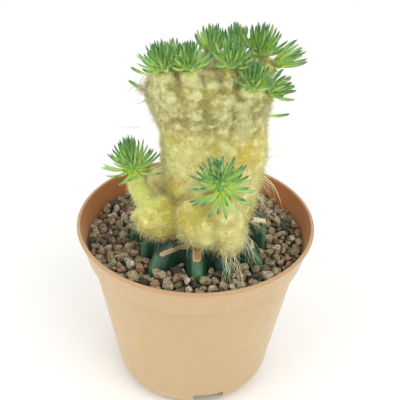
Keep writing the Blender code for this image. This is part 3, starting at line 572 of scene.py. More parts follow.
class Recipe:
    """A material under construction: short calls add nodes and wire them."""

    def __init__(self, name):
        self.material = bpy.data.materials.new(name)
        self.material.use_nodes = True
        self.tree = self.material.node_tree
        self.shader = self.tree.nodes["Principled BSDF"]

    def add(self, kind, inputs=None, **settings):
        """Add a node, set its plain values and link its sockets."""
        return add_node(self.tree, kind, inputs, **settings)

    def set(self, **values):
        """Set or link sockets of the shader, by their names with underscores for spaces."""
        for name, value in values.items():
            plug(self.tree, self.shader.inputs[name.replace("_", " ")], value)

    def attribute(self, name):
        """Number painted on the mesh."""
        return self.add("ShaderNodeAttribute", attribute_name=name).outputs["Fac"]

    def height(self):
        """Height above the floor."""
        place_of = self.add("ShaderNodeTexCoord").outputs["Object"]
        return self.add("ShaderNodeSeparateXYZ", {"Vector": place_of}).outputs["Z"]

    def mix(self, share, first, second, **settings):
        """Blend of two colours."""
        return mix_node(self.tree, share, first, second, **settings)

    def ramp(self, value, low, high, start=0.0, end=1.0):
        """Value moved from one range to another, smoothly and within it."""
        inputs = {"Value": value, "From Min": low, "From Max": high, "To Min": start, "To Max": end}
        return self.add("ShaderNodeMapRange", inputs, interpolation_type="SMOOTHSTEP").outputs["Result"]

    def maths(self, operation, first, second):
        """Sum, product or the like of two values."""
        return maths_node(self.tree, operation, first, second)

    def group(self, group, **inputs):
        """Copy of a shared node group."""
        node = self.add("ShaderNodeGroup", node_tree=group)
        for name, value in inputs.items():
            plug(self.tree, node.inputs[name.replace("_", " ")], value)
        return node.outputs

    def mottled(self, first, second, patch, fleck, share=0.5):
        """Two colours in soft patches with flecks: the blend, and the mask of the second."""
        outputs = self.group(
            mottle_group(), First=first, Second=second, Patch_scale=patch, Fleck_scale=fleck, Share=share
        )
        return outputs["Colour"], outputs["Mask"]

    def relief(self, coarse, fine, fine_share, distance, strength=1.0):
        """Rough surface of coarse lumps and fine grains."""
        grit = self.group(grit_group(), Coarse_scale=coarse, Fine_scale=fine, Fine_share=fine_share)
        inputs = {"Height": grit["Height"], "Distance": distance, "Strength": strength}
        self.set(Normal=self.add("ShaderNodeBump", inputs).outputs["Normal"])

    def soften(self, weight, radius, scale):
        """Let light pass through the surface."""
        self.set(Subsurface_Weight=weight, Subsurface_Radius=radius, Subsurface_Scale=scale)


def plug(tree, socket, value):
    """Link an output to a socket, or set the socket's own value."""
    if isinstance(value, bpy.types.NodeSocket):
        tree.links.new(value, socket)
    elif hasattr(value, "__len__") and len(value) == 3 and socket.type == "RGBA":
        socket.default_value = (*value, 1.0)
    else:
        socket.default_value = value


def add_node(tree, kind, inputs=None, **settings):
    """Add a node to a tree, set its plain values and link its sockets."""
    node = tree.nodes.new(kind)
    for name, value in settings.items():
        setattr(node, name, value)
    for name, value in (inputs or {}).items():
        plug(tree, node.inputs[name], value)
    return node


def maths_node(tree, operation, first, second):
    """Output of a node that adds, multiplies or the like."""
    return add_node(tree, "ShaderNodeMath", {0: first, 1: second}, operation=operation).outputs[0]


def mix_node(tree, share, first, second, **settings):
    """Output of a node that blends two colours."""
    inputs = {"Factor": share, 6: first, 7: second}
    return add_node(tree, "ShaderNodeMix", inputs, data_type="RGBA", **settings).outputs[2]


def noise_node(tree, where, scale):
    """Output of a noise texture."""
    return add_node(tree, "ShaderNodeTexNoise", {"Vector": where, "Scale": scale}).outputs["Fac"]


def new_group(name, inputs, outputs):
    """Empty shader node group with named sockets, and its input and output nodes."""
    group = bpy.data.node_groups.new(name, "ShaderNodeTree")
    for socket_name, kind, value in inputs:
        socket = group.interface.new_socket(socket_name, in_out="INPUT", socket_type=kind)
        socket.default_value = value
    for socket_name, kind in outputs:
        group.interface.new_socket(socket_name, in_out="OUTPUT", socket_type=kind)
    return group, group.nodes.new("NodeGroupInput"), group.nodes.new("NodeGroupOutput")


def mottle_group():
    """Two colours that run into each other in soft patches with finer flecks."""
    group = bpy.data.node_groups.get("mottle")
    if group:
        return group
    inputs = (
        ("First", "NodeSocketColor", (1, 1, 1, 1)),
        ("Second", "NodeSocketColor", (0, 0, 0, 1)),
        ("Patch scale", "NodeSocketFloat", 100.0),
        ("Fleck scale", "NodeSocketFloat", 900.0),
        ("Share", "NodeSocketFloat", 0.5),
    )
    outputs = (("Colour", "NodeSocketColor"), ("Mask", "NodeSocketFloat"))
    group, given, result = new_group("mottle", inputs, outputs)
    where = add_node(group, "ShaderNodeTexCoord").outputs["Object"]
    patch = noise_node(group, where, given.outputs["Patch scale"])
    fleck = noise_node(group, where, given.outputs["Fleck scale"])
    level = maths_node(group, "SUBTRACT", maths_node(group, "ADD", patch, fleck), given.outputs["Share"])
    inputs = {"Value": level, "From Min": 0.35, "From Max": 0.65}
    mask = add_node(group, "ShaderNodeMapRange", inputs).outputs["Result"]
    blend = mix_node(group, mask, given.outputs["First"], given.outputs["Second"])
    plug(group, result.inputs["Colour"], blend)
    plug(group, result.inputs["Mask"], mask)
    return group


def grit_group():
    """Height of a rough surface, from coarse lumps and fine grains."""
    group = bpy.data.node_groups.get("grit")
    if group:
        return group
    inputs = (
        ("Coarse scale", "NodeSocketFloat", 300.0),
        ("Fine scale", "NodeSocketFloat", 2000.0),
        ("Fine share", "NodeSocketFloat", 0.5),
    )
    group, given, result = new_group("grit", inputs, (("Height", "NodeSocketFloat"),))
    where = add_node(group, "ShaderNodeTexCoord").outputs["Object"]
    coarse = noise_node(group, where, given.outputs["Coarse scale"])
    fine = noise_node(group, where, given.outputs["Fine scale"])
    scaled = maths_node(group, "MULTIPLY", fine, given.outputs["Fine share"])
    plug(group, result.inputs["Height"], maths_node(group, "ADD", coarse, scaled))
    return group


def turned(profile, steps):
    """Bmesh of a closed profile of (radius, height) points turned all the way round."""
    bm = bmesh.new()
    points = [bm.verts.new((radius, 0.0, height)) for radius, height in profile]
    edges = [bm.edges.new(pair) for pair in zip(points, points[1:])]
    bmesh.ops.spin(
        bm, geom=points + edges, cent=(0, 0, 0), axis=(0, 0, 1), angle=math.tau, steps=steps, use_merge=True
    )
    bmesh.ops.remove_doubles(bm, verts=bm.verts, dist=0.0005)
    bmesh.ops.recalc_face_normals(bm, faces=bm.faces)
    return bm


def arc(middle, radius, first, last, steps):
    """Points of an arc in a profile, from one angle to another in degrees."""
    turns = (math.radians(first + (last - first) * step / steps) for step in range(steps + 1))
    return [(middle[0] + radius * math.cos(turn), middle[1] + radius * math.sin(turn)) for turn in turns]


def straight(start, end, steps):
    """Points from one place in a profile to another, without the last."""
    return [tuple(a + (b - a) * step / steps for a, b in zip(start, end)) for step in range(steps)]


def wall_radius_at(height):
    """Inner radius of the pot's wall."""
    if height >= COLLAR_FOOT_Z:
        share = (height - COLLAR_FOOT_Z) / (POT_HEIGHT - COLLAR_FOOT_Z)
        return COLLAR_FOOT_RADIUS - WALL + share * (LIP_RADIUS - LIP_PROUD - COLLAR_FOOT_RADIUS)
    share = (height - EDGE_ROUNDING) / (BODY_TOP_Z - EDGE_ROUNDING)
    return TAPER_FOOT_RADIUS - WALL + share * (BODY_TOP_RADIUS - TAPER_FOOT_RADIUS)


def pot_profile():
    """Section of the pot's wall, from the middle of its floor's top, out over the lip and back underneath."""
    edge_x = TAPER_FOOT_RADIUS - EDGE_ROUNDING
    lip_middle = (LIP_RADIUS - LIP_ROUNDING, POT_HEIGHT - LIP_ROUNDING)
    lip_foot = POT_HEIGHT - LIP_DEPTH
    corner = wall_radius_at(FLOOR_TOP) - FLOOR_FILLET
    profile = straight((0.0, FLOOR_TOP), (corner, FLOOR_TOP), 4)
    profile += arc((corner, FLOOR_TOP + FLOOR_FILLET), FLOOR_FILLET, -90, 0, 5)
    profile += straight((TAPER_FOOT_RADIUS - WALL, FLOOR_TOP + 1.0), (BODY_TOP_RADIUS - WALL, BODY_TOP_Z), 12)
    profile += [(BODY_TOP_RADIUS - WALL, BODY_TOP_Z)]
    shelf = COLLAR_FOOT_Z + 1.0
    profile += straight((wall_radius_at(shelf), shelf), (LIP_RADIUS - LIP_INNER_SETBACK, lip_foot), 6)
    profile += arc(lip_middle, LIP_ROUNDING, 170, 0, 10)
    edge_middle = (LIP_RADIUS - LIP_EDGE_ROUNDING, lip_foot + LIP_EDGE_ROUNDING)
    profile += arc(edge_middle, LIP_EDGE_ROUNDING, -10, -90, 4)
    collar_top = (LIP_RADIUS - LIP_PROUD - COLLAR_TOP_SETBACK, lip_foot - COLLAR_TOP_SETBACK)
    collar_foot = (wall_radius_at(COLLAR_FOOT_Z + STEP_BLEND) + WALL, COLLAR_FOOT_Z + STEP_BLEND)
    body_top = (wall_radius_at(BODY_TOP_Z - STEP_BLEND) + WALL, BODY_TOP_Z - STEP_BLEND)
    profile += straight(collar_top, collar_foot, 6)
    for step in range(14):
        share = step / 14
        blend = share * share * (3 - 2 * share)
        radius = collar_foot[0] + (body_top[0] - collar_foot[0]) * blend
        profile.append((radius, collar_foot[1] + (body_top[1] - collar_foot[1]) * share))
    profile += straight(body_top, (TAPER_FOOT_RADIUS, EDGE_ROUNDING), 14)
    profile += arc((edge_x, EDGE_ROUNDING), EDGE_ROUNDING, 0, -90, 14)
    ring_inner = edge_x - FOOT_RING_WIDTH
    profile += [(ring_inner, 0.0), (ring_inner - FOOT_RING_DRAFT, FLOOR_UNDERSIDE), (0.0, FLOOR_UNDERSIDE)]
    return profile


def pot_cutters():
    """Bmesh of the notches in the foot and the drain holes in the floor."""
    bm = bmesh.new()
    for step in range(NOTCH_COUNT):
        angle = NOTCH_FIRST_ANGLE + 360 / NOTCH_COUNT * step
        made = bmesh.ops.create_cube(bm, size=1.0)["verts"]
        bmesh.ops.scale(bm, vec=(NOTCH_DEPTH, NOTCH_WIDTH, 2 * NOTCH_HEIGHT), verts=made)
        bmesh.ops.translate(bm, vec=(TAPER_FOOT_RADIUS + 1.0 - NOTCH_DEPTH / 2, 0, 0), verts=made)
        bmesh.ops.rotate(bm, matrix=Matrix.Rotation(math.radians(angle), 3, "Z"), verts=made)
    for step in range(DRAIN_COUNT):
        angle = NOTCH_FIRST_ANGLE + 360 / DRAIN_COUNT * step
        hole = bmesh.ops.create_cone(
            bm, cap_ends=True, segments=24, radius1=DRAIN_RADIUS, radius2=DRAIN_RADIUS, depth=FLOOR_TOP
        )["verts"]
        bmesh.ops.translate(bm, vec=polar(DRAIN_RING_RADIUS, angle, FLOOR_TOP), verts=hole)
    return bm


def pot_material(look):
    """Satin plastic: tan outside, redder inside, with a darker lip over a thin orange line of painted
    highlight.
    """
    recipe = Recipe("pot_plastic")
    tan, mask = recipe.mottled(look.outside, [channel * 0.97 for channel in look.outside], 35.0, 260.0)
    wall = recipe.mix(recipe.attribute("inside"), tan, look.inside)
    rolled = recipe.mix(recipe.attribute("lip"), wall, look.lip)
    # Painted highlight: the thin orange line under the lip
    colour = recipe.mix(recipe.attribute("seam"), rolled, look.seam)
    recipe.set(Base_Color=colour, Roughness=recipe.ramp(mask, 0.0, 1.0, 0.4, 0.5))
    recipe.relief(coarse=160.0, fine=2400.0, fine_share=0.3, distance=0.00012, strength=0.35)
    recipe.soften(0.12, (0.004, 0.002, 0.001), 0.6)
    recipe.set(Sheen_Weight=0.2, Sheen_Roughness=0.5, Sheen_Tint=(1.0, 0.95, 0.85))
    return recipe.material


class OBJECT_OT_graft_pot(bpy.types.Operator):
    """Model the pot."""

    bl_idname = "object.graft_pot"
    bl_label = "Pot"

    def execute(self, context):
        look = context.scene.graft_pot
        pot = object_of(mesh_of(turned(pot_profile(), look.steps), "pot_shell"), "pot_shell")
        cutter = object_of(mesh_of(pot_cutters(), "pot_cutter"), "pot_cutter")
        cut = pot.modifiers.new("cut", "BOOLEAN")
        cut.operation = "DIFFERENCE"
        cut.object = cutter
        mesh = apply_modifiers(pot)
        bpy.data.objects.remove(cutter, do_unlink=True)
        points = points_of(mesh) / MM
        height = points[:, 2]
        spread = np.hypot(points[:, 0], points[:, 1])
        outer = np.interp(height, (EDGE_ROUNDING, BODY_TOP_Z), (TAPER_FOOT_RADIUS, BODY_TOP_RADIUS))
        collar = np.interp(height, (COLLAR_FOOT_Z, POT_HEIGHT), (COLLAR_FOOT_RADIUS, LIP_RADIUS - LIP_PROUD))
        outer = np.where(height > COLLAR_FOOT_Z - 0.2, collar, outer)
        paint(mesh, "inside", (spread < outer - INNER_WALL_SHARE * WALL) & (height > FLOOR_UNDERSIDE + 0.5))
        above = height - (POT_HEIGHT - LIP_DEPTH)
        paint(mesh, "lip", rising(above, *LIP_COLOUR_RISE) * rising(spread - LIP_RADIUS, *LIP_COLOUR_SPREAD))
        # Painted highlight: a thin orange line just under the lip, round the outside
        paint(mesh, "seam", (spread > outer - 0.5) & (np.abs(above - LIP_HIGHLIGHT_DROP) < LIP_HIGHLIGHT_REACH))
        mesh.shade_smooth()
        mesh.set_sharp_from_angle(angle=math.radians(50))
        place(pot, "pot_plastic", pot_material(look), "pot")
        return {"FINISHED"}


def mix_material():
    """Dark damp potting mix."""
    recipe = Recipe("potting_mix")
    soil, _ = recipe.mottled((0.03, 0.02, 0.012), (0.11, 0.075, 0.045), 420.0, 1600.0, 0.55)
    recipe.set(Base_Color=soil, Roughness=0.95)
    recipe.relief(coarse=500.0, fine=2600.0, fine_share=0.6, distance=0.0008)
    return recipe.material


class OBJECT_OT_graft_mix(bpy.types.Operator):
    """Finish the potting mix, which shows only through the drain holes."""

    bl_idname = "object.graft_mix"
    bl_label = "Potting mix"

    def execute(self, context):
        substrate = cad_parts["substrate"]
        substrate.data.materials.clear()
        substrate.data.materials.append(mix_material())
        return {"FINISHED"}


def stone_shape(draw):
    """Crushed stone of unit radius: a ball pushed about, with flats broken off it."""
    bm = bmesh.new()
    bmesh.ops.create_icosphere(bm, subdivisions=2, radius=1.0)
    shift = Vector((draw.uniform(-9, 9), draw.uniform(-9, 9), draw.uniform(-9, 9)))
    flats = []
    for _ in range(STONE_FLATS):
        way = Vector((draw.gauss(0, 1), draw.gauss(0, 1), draw.gauss(0, 1))).normalized()
        flats.append((way, draw.uniform(*STONE_FLAT_DEPTHS)))
    stretch = Vector([draw.uniform(*span) for span in STONE_STRETCHES])
    lump, lump_scale = STONE_LUMPS
    rough, rough_scale = STONE_ROUGHNESS
    for vert in bm.verts:
        spot = vert.co + lump * noise.noise_vector(vert.co * lump_scale + shift)
        for way, depth in flats:
            spot -= way * max(0.0, spot.dot(way) - depth)
        spot += rough * noise.noise_vector(spot * rough_scale + shift)
        vert.co = Vector(spot[axis] * stretch[axis] for axis in range(3))
    points = np.array([vert.co[:] for vert in bm.verts])
    return bm, points


def stone_spots(look, stock):
    """Seeded scatter of stones in layers: place, radius and colour share, the photograph's stones last."""
    draw = random.Random(look.seed)
    spots = []
    for height, smallest, largest, wanted in LAYERS:
        layer = [(Vector(spot), radius, shade) for spot, radius, shade in LARGE_STONES]
        middles = np.array([spot[:2] for spot, radius, shade in layer])
        sizes = np.array([radius for spot, radius, shade in layer])
        limit = wall_radius_at(height) - STONE_TO_WALL
        for rank in range(wanted):
            radius = smallest + (largest - smallest) * (1 - rank / wanted) ** STONE_SIZE_FALL
            for _ in range(STONE_TRIES):
                spread = math.sqrt(draw.random()) * (limit - radius)
                spot = polar(spread, draw.uniform(0, 360), height + draw.uniform(*STONE_LIFT))
                if (np.hypot(*(middles - spot[:2]).T) < (sizes + radius) * STONE_PACK).any():
                    continue
                nearest, way, _, distance = stock.find_nearest(spot * MM)
                if distance > radius * STONE_TO_STOCK * MM and (spot * MM - nearest).dot(way) > 0:
                    layer.append((spot, radius, draw.random()))
                    middles = np.vstack([middles, spot[:2]])
                    sizes = np.append(sizes, radius)
                    break
        spots += layer[len(LARGE_STONES):]
    return spots + layer[:len(LARGE_STONES)]


def stone_material(look):
    """Rough crushed lava in greys, browns and reds, with a few pale pumice grains."""
    recipe = Recipe("grit")
    shade = recipe.attribute("shade")
    brown = recipe.mix(recipe.ramp(shade, 0.0, 0.3), look.dark, look.brown)
    red = recipe.mix(recipe.ramp(shade, 0.62, 0.74), brown, look.red)
    stone = recipe.mix(recipe.ramp(shade, 0.82, 0.98), red, look.pale)
    flecks, _ = recipe.mottled((0.6, 0.58, 0.55), (1.45, 1.42, 1.34), 330.0, 1500.0)
    recipe.set(Base_Color=recipe.mix(1.0, stone, flecks, blend_type="MULTIPLY"), Roughness=0.9)
    recipe.relief(coarse=900.0, fine=3600.0, fine_share=0.6, distance=0.0009, strength=0.9)
    return recipe.material


def stones_mesh(look, stock):
    """Mesh of all the stones, each shape copied to its share of the places."""
    draw = random.Random(look.seed)
    noise.seed_set(look.seed)
    spots = stone_spots(look, stock)
    bm_all = bmesh.new()
    shades = []
    for index in range(STONE_SHAPES):
        batch = spots[index::STONE_SHAPES]
        bm, points = stone_shape(draw)
        mesh = copies_of(bm, len(batch), "stones")
        placed = []
        for spot, radius, shade in batch:
            turn = Matrix.Rotation(draw.uniform(0, math.tau), 3, "Z")
            turn = turn @ Matrix.Rotation(draw.uniform(-STONE_LEAN, STONE_LEAN), 3, "X")
            placed.append((points @ np.array(turn).T * radius + np.array(spot)) * MM)
            shades += [shade] * len(points)
        set_points(mesh, np.concatenate(placed))
        bm_all.from_mesh(mesh)
        bpy.data.meshes.remove(mesh)
    mesh = mesh_of(bm_all, "gravel_stones", 1.0)
    paint(mesh, "shade", shades)
    mesh.shade_smooth()
    mesh.set_sharp_from_angle(angle=math.radians(32))
    return mesh


def bed_mesh():
    """Mesh of the fine bed under the stones, with a rough top."""
    rim = wall_radius_at(BED_TOP) - BED_TO_WALL
    top = BED_TOP - BED_SINK
    profile = [(BED_INNER_RADIUS, BED_FOOT), (wall_radius_at(BED_FOOT) - BED_TO_WALL, BED_FOOT)]
    profile += [(rim, COLLAR_FOOT_Z + 1.4)]
    profile += straight((rim, top), (BED_INNER_RADIUS, top), 40)
    profile += [(BED_INNER_RADIUS, top), (BED_INNER_RADIUS, BED_FOOT)]
    mesh = mesh_of(turned(profile, 120), "gravel_bed")
    points = points_of(mesh)
    lift = noise_on(points, BED_RELIEF_SCALE)
    points[:, 2] += np.where(points[:, 2] > (top - BED_RELIEF) * MM, BED_RELIEF * MM * lift, 0.0)
    set_points(mesh, points)
    paint(mesh, "shade", 0.08 + 0.1 * np.abs(lift))
    return mesh


class OBJECT_OT_graft_gravel(bpy.types.Operator):
    """Scatter the stones of the top dressing on their bed."""

    bl_idname = "object.graft_gravel"
    bl_label = "Gravel"

    def execute(self, context):
        look = context.scene.graft_gravel
        stock = BVHTree.FromObject(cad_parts["rootstock"], context.evaluated_depsgraph_get())
        material = stone_material(look)
        place(object_of(stones_mesh(look, stock), "gravel_stones"), "grit", material, "gravel")
        place(object_of(bed_mesh(), "gravel_bed"), "grit", material, "gravel")
        return {"FINISHED"}


def merged(node):
    """Bmesh of a node's solid with its loose triangles joined."""
    bm = bmesh.new()
    bm.from_mesh(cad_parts[node].data)
    bmesh.ops.remove_doubles(bm, verts=bm.verts, dist=0.00001)
    return bm


def spikes_of(bm):
    """Tips of the single long bristles of a merged solid, with the middle of each one's foot."""
    spikes = []
    for vert in bm.verts:
        lengths = [edge.calc_length() for edge in vert.link_edges]
        feet = [edge.other_vert(vert).co for edge in vert.link_edges]
        spread = max((a - b).length for a in feet for b in feet)
        if min(lengths) > SPIKE_LENGTH * MM and spread < SPIKE_FOOT * MM:
            spikes.append((vert, sum(feet, Vector()) / len(feet)))
    return spikes


def fine_copy(node, name, grain, smoothing, strip=False):
    """Evenly fine and smooth copy of a node's solid, without its bristles if asked."""
    bm = merged(node)
    if strip:
        bmesh.ops.dissolve_verts(bm, verts=[vert for vert, _ in spikes_of(bm)])
        bmesh.ops.triangulate(bm, faces=[face for face in bm.faces if len(face.verts) > 3])
    item = object_of(mesh_of(bm, name, 1.0), name)
    remesh = item.modifiers.new("remesh", "REMESH")
    remesh.mode = "VOXEL"
    remesh.voxel_size = grain
    smooth = item.modifiers.new("smooth", "SMOOTH")
    smooth.factor = 0.5
    smooth.iterations = smoothing
    apply_modifiers(item)
    return item


def distance_to_segment(points, start, end):
    """Distance of each point to a straight line between two points."""
    start, end = np.array(start), np.array(end)
    run = end - start
    share = np.clip((points - start) @ run / (run @ run), 0, 1)
    return np.linalg.norm(points - start - share[:, None] * run, axis=1)


def stock_material(look):
    """Waxy dark green skin with a painted highlight along the ribs' edges, and corky scars that are darker
    inside.
    """
    recipe = Recipe("stock_skin")
    skin, _ = recipe.mottled(look.skin, [channel * 1.6 for channel in look.skin], 160.0, 1200.0, 0.55)
    scar = recipe.attribute("scar")
    pale = recipe.attribute("pale")
    fresh = recipe.mix(pale, look.scar, look.pale)
    inner = recipe.ramp(scar, 0.66, 0.8, 0.0, 0.8)
    middle = recipe.maths("MULTIPLY", inner, recipe.maths("SUBTRACT", 1.0, pale))
    worn = recipe.mix(middle, fresh, look.pith)
    cork, specks = recipe.mottled(worn, [channel * 0.5 for channel in look.scar], 300.0, 1900.0, 0.75)
    # Painted highlight along the ribs' edges over the dark skin
    highlit_skin = recipe.mix(recipe.attribute("edge"), skin, look.edge)
    ragged = recipe.maths("ADD", scar, recipe.maths("MULTIPLY", specks, 0.4))
    mask = recipe.ramp(ragged, 0.55, 0.67)
    recipe.set(Base_Color=recipe.mix(mask, highlit_skin, cork), Roughness=recipe.ramp(mask, 0.0, 1.0, 0.36, 0.85))
    recipe.relief(coarse=420.0, fine=2600.0, fine_share=0.4, distance=0.0004, strength=0.5)
    recipe.soften(0.06, (0.002, 0.003, 0.001), 0.5)
    return recipe.material


class OBJECT_OT_graft_stock(bpy.types.Operator):
    """Model the ribbed stock with its corky scars."""

    bl_idname = "object.graft_stock"
    bl_label = "Graft stock"

    def execute(self, context):
        look = context.scene.graft_stock
        stock = fine_copy("rootstock", "rootstock_skin", look.grain, 7)
        mesh = stock.data
        points = points_of(mesh)
        normals = normals_of(mesh)
        lift = noise_on(points, STOCK_RELIEF_SCALE)
        set_points(mesh, points + normals * (STOCK_RELIEF * MM * lift)[:, None])
        points = points / MM
        spread = np.hypot(points[:, 0], points[:, 1])
        outward = (normals[:, 0] * points[:, 0] + normals[:, 1] * points[:, 1]) / np.maximum(spread, 1e-6)
        # Painted highlight: paler green where a rib's edge faces out, far from the middle
        paint(mesh, "edge", rising(outward, *RIB_HIGHLIGHT_FACING) * rising(spread, *RIB_HIGHLIGHT_SPREAD))
        scar = np.zeros(len(points))
        pale = np.zeros(len(points))
        for start, end, half, paleness in SCARS:
            strength = 1 - distance_to_segment(points, start, end) / (2 * half)
            pale = np.where(strength > scar, paleness, pale)
            scar = np.maximum(scar, strength)
        paint(mesh, "scar", scar)
        paint(mesh, "pale", pale)
        mesh.shade_smooth()
        place(stock, "stock_skin", stock_material(look), "rootstock")
        return {"FINISHED"}


def spread_out(spots, spacings, draw):
    """Seeded choice of places of which none is nearer another than its own spacing: their indices."""
    kept = []
    for index in draw.permutation(len(spots)):
        if not kept or (np.linalg.norm(spots[kept] - spots[index], axis=1) > spacings[index]).all():
            kept.append(index)
    return np.array(kept)


def pleats_on(points, normals, look):
    """Pale and deep patches from 0 to 1: upright pleats on the crest, cloudy lower down, and painted light
    and shade on the lobes.
    """
    upright = noise_on(points * (1, 1, 0.3), look.pleats)
    cloudy = np.array([noise.noise(Vector((x, y, z + 0.5)) * 0.6 * look.pleats) for x, y, z in points])
    ragged = np.array([noise.noise(Vector(point) * 2.6 * look.pleats) for point in points])
    crest = np.interp(points[:, 2], ((CREST_FOOT_Z - 14) * MM, CREST_FOOT_Z * MM), (0.0, 1.0))
    patches = 0.6 + crest * (0.45 * upright + 0.7 * ragged) + (1 - crest) * (0.9 * cloudy + 0.25 * ragged)
    flat = points / MM * (1, 0, 1)
    front = np.clip(-2 * normals[:, 1], 0, 1)
    # Patches on the front: the two on the lobes are painted light and shade, the rest the wool's own
    for (x, z), reach, shift in WOOL_AND_LIGHT_PATCHES:
        away = np.linalg.norm(flat - (x, 0, z), axis=1) + 3 * ragged
        patches += shift * front * np.clip(1.4 - away / reach, 0, 1)
    patches = np.clip(patches, 0, 1)
    furrow = np.zeros(len(points))
    for (x, z), (other_x, other_z), half in FURROWS:
        away = distance_to_segment(flat, (x, 0, z), (other_x, 0, other_z))
        furrow = np.maximum(furrow, np.clip(1.3 - 0.7 * (away + 1.4 * ragged) / half, 0, 1))
    return patches * (1 - 0.7 * furrow * front)


def puffs_on(points, look, draw):
    """Height share of the woolly tubercles at each point, one soft dome about each seeded middle."""
    spacings = np.interp(points[:, 2], (LOBE_TOP_Z * MM, CREST_FOOT_Z * MM), (look.wide, look.narrow))
    tried = draw.choice(len(points), size=PUFF_TRIES, replace=False)
    middles = tried[spread_out(points[tried], spacings[tried], draw)]
    tree = KDTree(len(middles))
    for rank, index in enumerate(middles):
        tree.insert(points[index], rank)
    tree.balance()
    found = [tree.find(point) for point in points]
    away = np.array([distance for _, _, distance in found])
    sizes = draw.uniform(0.3, 1.2, len(middles))[[rank for _, rank, _ in found]]
    return np.clip(1 - (away / (0.7 * spacings)) ** 2, 0, 1) * sizes


def by_height(recipe, lobe, trunk, crest):
    """Colour that goes from the lobes' over the trunk's to the crest's."""
    height = recipe.height()
    to_trunk = recipe.ramp(height, TRUNK_BLEND[0] * MM, TRUNK_BLEND[1] * MM)
    to_crest = recipe.ramp(height, CREST_BLEND[0] * MM, CREST_BLEND[1] * MM)
    return recipe.mix(to_crest, recipe.mix(to_trunk, lobe, trunk), crest)


def scion_material(look):
    """Cream wool in patches over yellow, olive in the crest's furrows, greener on the young growth."""
    recipe = Recipe("scion_wool")
    _, patches = recipe.mottled((0, 0, 0), (1, 1, 1), 140.0, 700.0)
    pale = by_height(recipe, *PALE_WOOL)
    deep = by_height(recipe, *DEEP_WOOL)
    shift = recipe.maths("MULTIPLY", recipe.maths("SUBTRACT", patches, 0.5), 0.35)
    raised = recipe.maths("ADD", recipe.attribute("puff"), shift)
    wool = recipe.mix(recipe.ramp(raised, 0.1, 0.8), deep, pale)
    recipe.set(Base_Color=recipe.mix(recipe.attribute("young"), wool, look.young), Roughness=0.85)
    recipe.relief(coarse=900.0, fine=3200.0, fine_share=0.7, distance=0.0008, strength=0.9)
    recipe.soften(0.25, (0.004, 0.003, 0.001), 0.6)
    recipe.set(Sheen_Weight=0.3, Sheen_Roughness=0.5, Sheen_Tint=(1.0, 0.92, 0.45))
    return recipe.material


class OBJECT_OT_graft_scion(bpy.types.Operator):
    """Model the woolly body, with pleats on its crest and a soft puff on each tubercle."""

    bl_idname = "object.graft_scion"
    bl_label = "Scion"

    def execute(self, context):
        look = context.scene.graft_scion
        draw = np.random.default_rng(look.seed)
        scion = fine_copy("scion", "scion_body", look.grain, 9, strip=True)
        mesh = scion.data
        points = points_of(mesh)
        normals = normals_of(mesh)
        spots = points / MM
        young = 0.75 * (1 - rising(distance_to_segment(spots, *ARM_LINE), *ARM_GREEN_REACH))
        for _, seat, *_ in TUFTS:
            away = np.linalg.norm(spots - np.array(seat), axis=1)
            young = np.maximum(young, 0.45 * (1 - rising(away, *TUFT_GREEN_REACH)))
        paint(mesh, "young", young)
        pleats = pleats_on(points, normals, look)
        puff = puffs_on(points, look, draw)
        fine = noise_on(points, SCION_RELIEF_SCALE)
        crest = rising(spots[:, 2], CREST_FOOT_Z - 10, CREST_FOOT_Z)
        rise = look.puff * (puff - 0.4) * (1 - 0.4 * young) + look.fold * (pleats - 0.5) * crest
        hollow = (1 - rising(spots[:, 0], *HOLLOW_ACROSS)) * rising(spots[:, 2], *HOLLOW_HEIGHT)
        rise -= HOLLOW_DEPTH * MM * hollow
        set_points(mesh, points + normals * (rise + SCION_RELIEF * MM * fine)[:, None])
        # Colour share of the wool, which carries the painted light and shade on the lobes
        paint(mesh, "puff", np.clip(0.85 * pleats + 0.25 * puff + (0.15 + 0.2 * crest) * fine - 0.04, 0, 1))
        mesh.shade_smooth()
        place(scion, "scion_wool", scion_material(look), "scion")
        return {"FINISHED"}


def hair_material(name, pale, deep):
    """Fine translucent hair from pale to deep in its patch's shade, each for the lobes, trunk and crest."""
    recipe = Recipe(name)
    shade = recipe.ramp(recipe.attribute("shade"), 0.05, 0.95)
    colour = recipe.mix(shade, by_height(recipe, *pale), by_height(recipe, *deep))
    lit = recipe.mix(recipe.maths("MULTIPLY", recipe.attribute("along"), 0.35), colour, HAIR_TIP)
    recipe.set(Base_Color=lit, Roughness=0.6)
    recipe.soften(0.4, (0.002, 0.0015, 0.001), 0.4)
    return recipe.material


def bent_curves(spots, ways, lengths, lean, droop, sunk, draw):
    """Root, middle and tip of hairs that leave a surface, lean at random and droop."""
    count = len(spots)
    first = unit(ways + lean * draw.normal(size=(count, 3)))
    second = unit(first + lean * draw.normal(size=(count, 3)) - droop * np.array([0, 0, 1.0]))
    reach = lengths[:, None]
    root = spots - ways * sunk
    middle = root + first * reach * 0.5
    return np.stack([root, middle, middle + second * reach * 0.5], axis=1)


def bristle_curves(draw):
    """Long bristles, those of the solid and the bundles: root, middle and tip, darkness, and radius."""
    rows = []
    bm = merged("scion")
    for vert, foot in spikes_of(bm):
        bend = Vector(draw.normal(scale=0.8 * MM, size=3))
        middle = foot.lerp(vert.co, 0.5) + bend + Vector((0, 0, 0.8 * MM))
        rows.append(([foot[:], middle[:], vert.co[:]], draw.uniform(0, 0.6), draw.uniform(0.05, 0.08)))
    bm.free()
    for root, middle, tip, count, spread, darkness, radius in BRISTLES:
        for _ in range(count):
            shift = draw.normal(scale=0.5 * spread, size=(3, 3)) * np.array([[0.8], [1.0], [1.3]])
            curve = (np.array([root, middle, tip]) + shift) * MM
            rows.append((curve, darkness, radius * draw.uniform(0.8, 1.2)))
    curves, shades, radii = zip(*rows)
    return np.array(curves), np.array(shades), np.array(radii) * MM


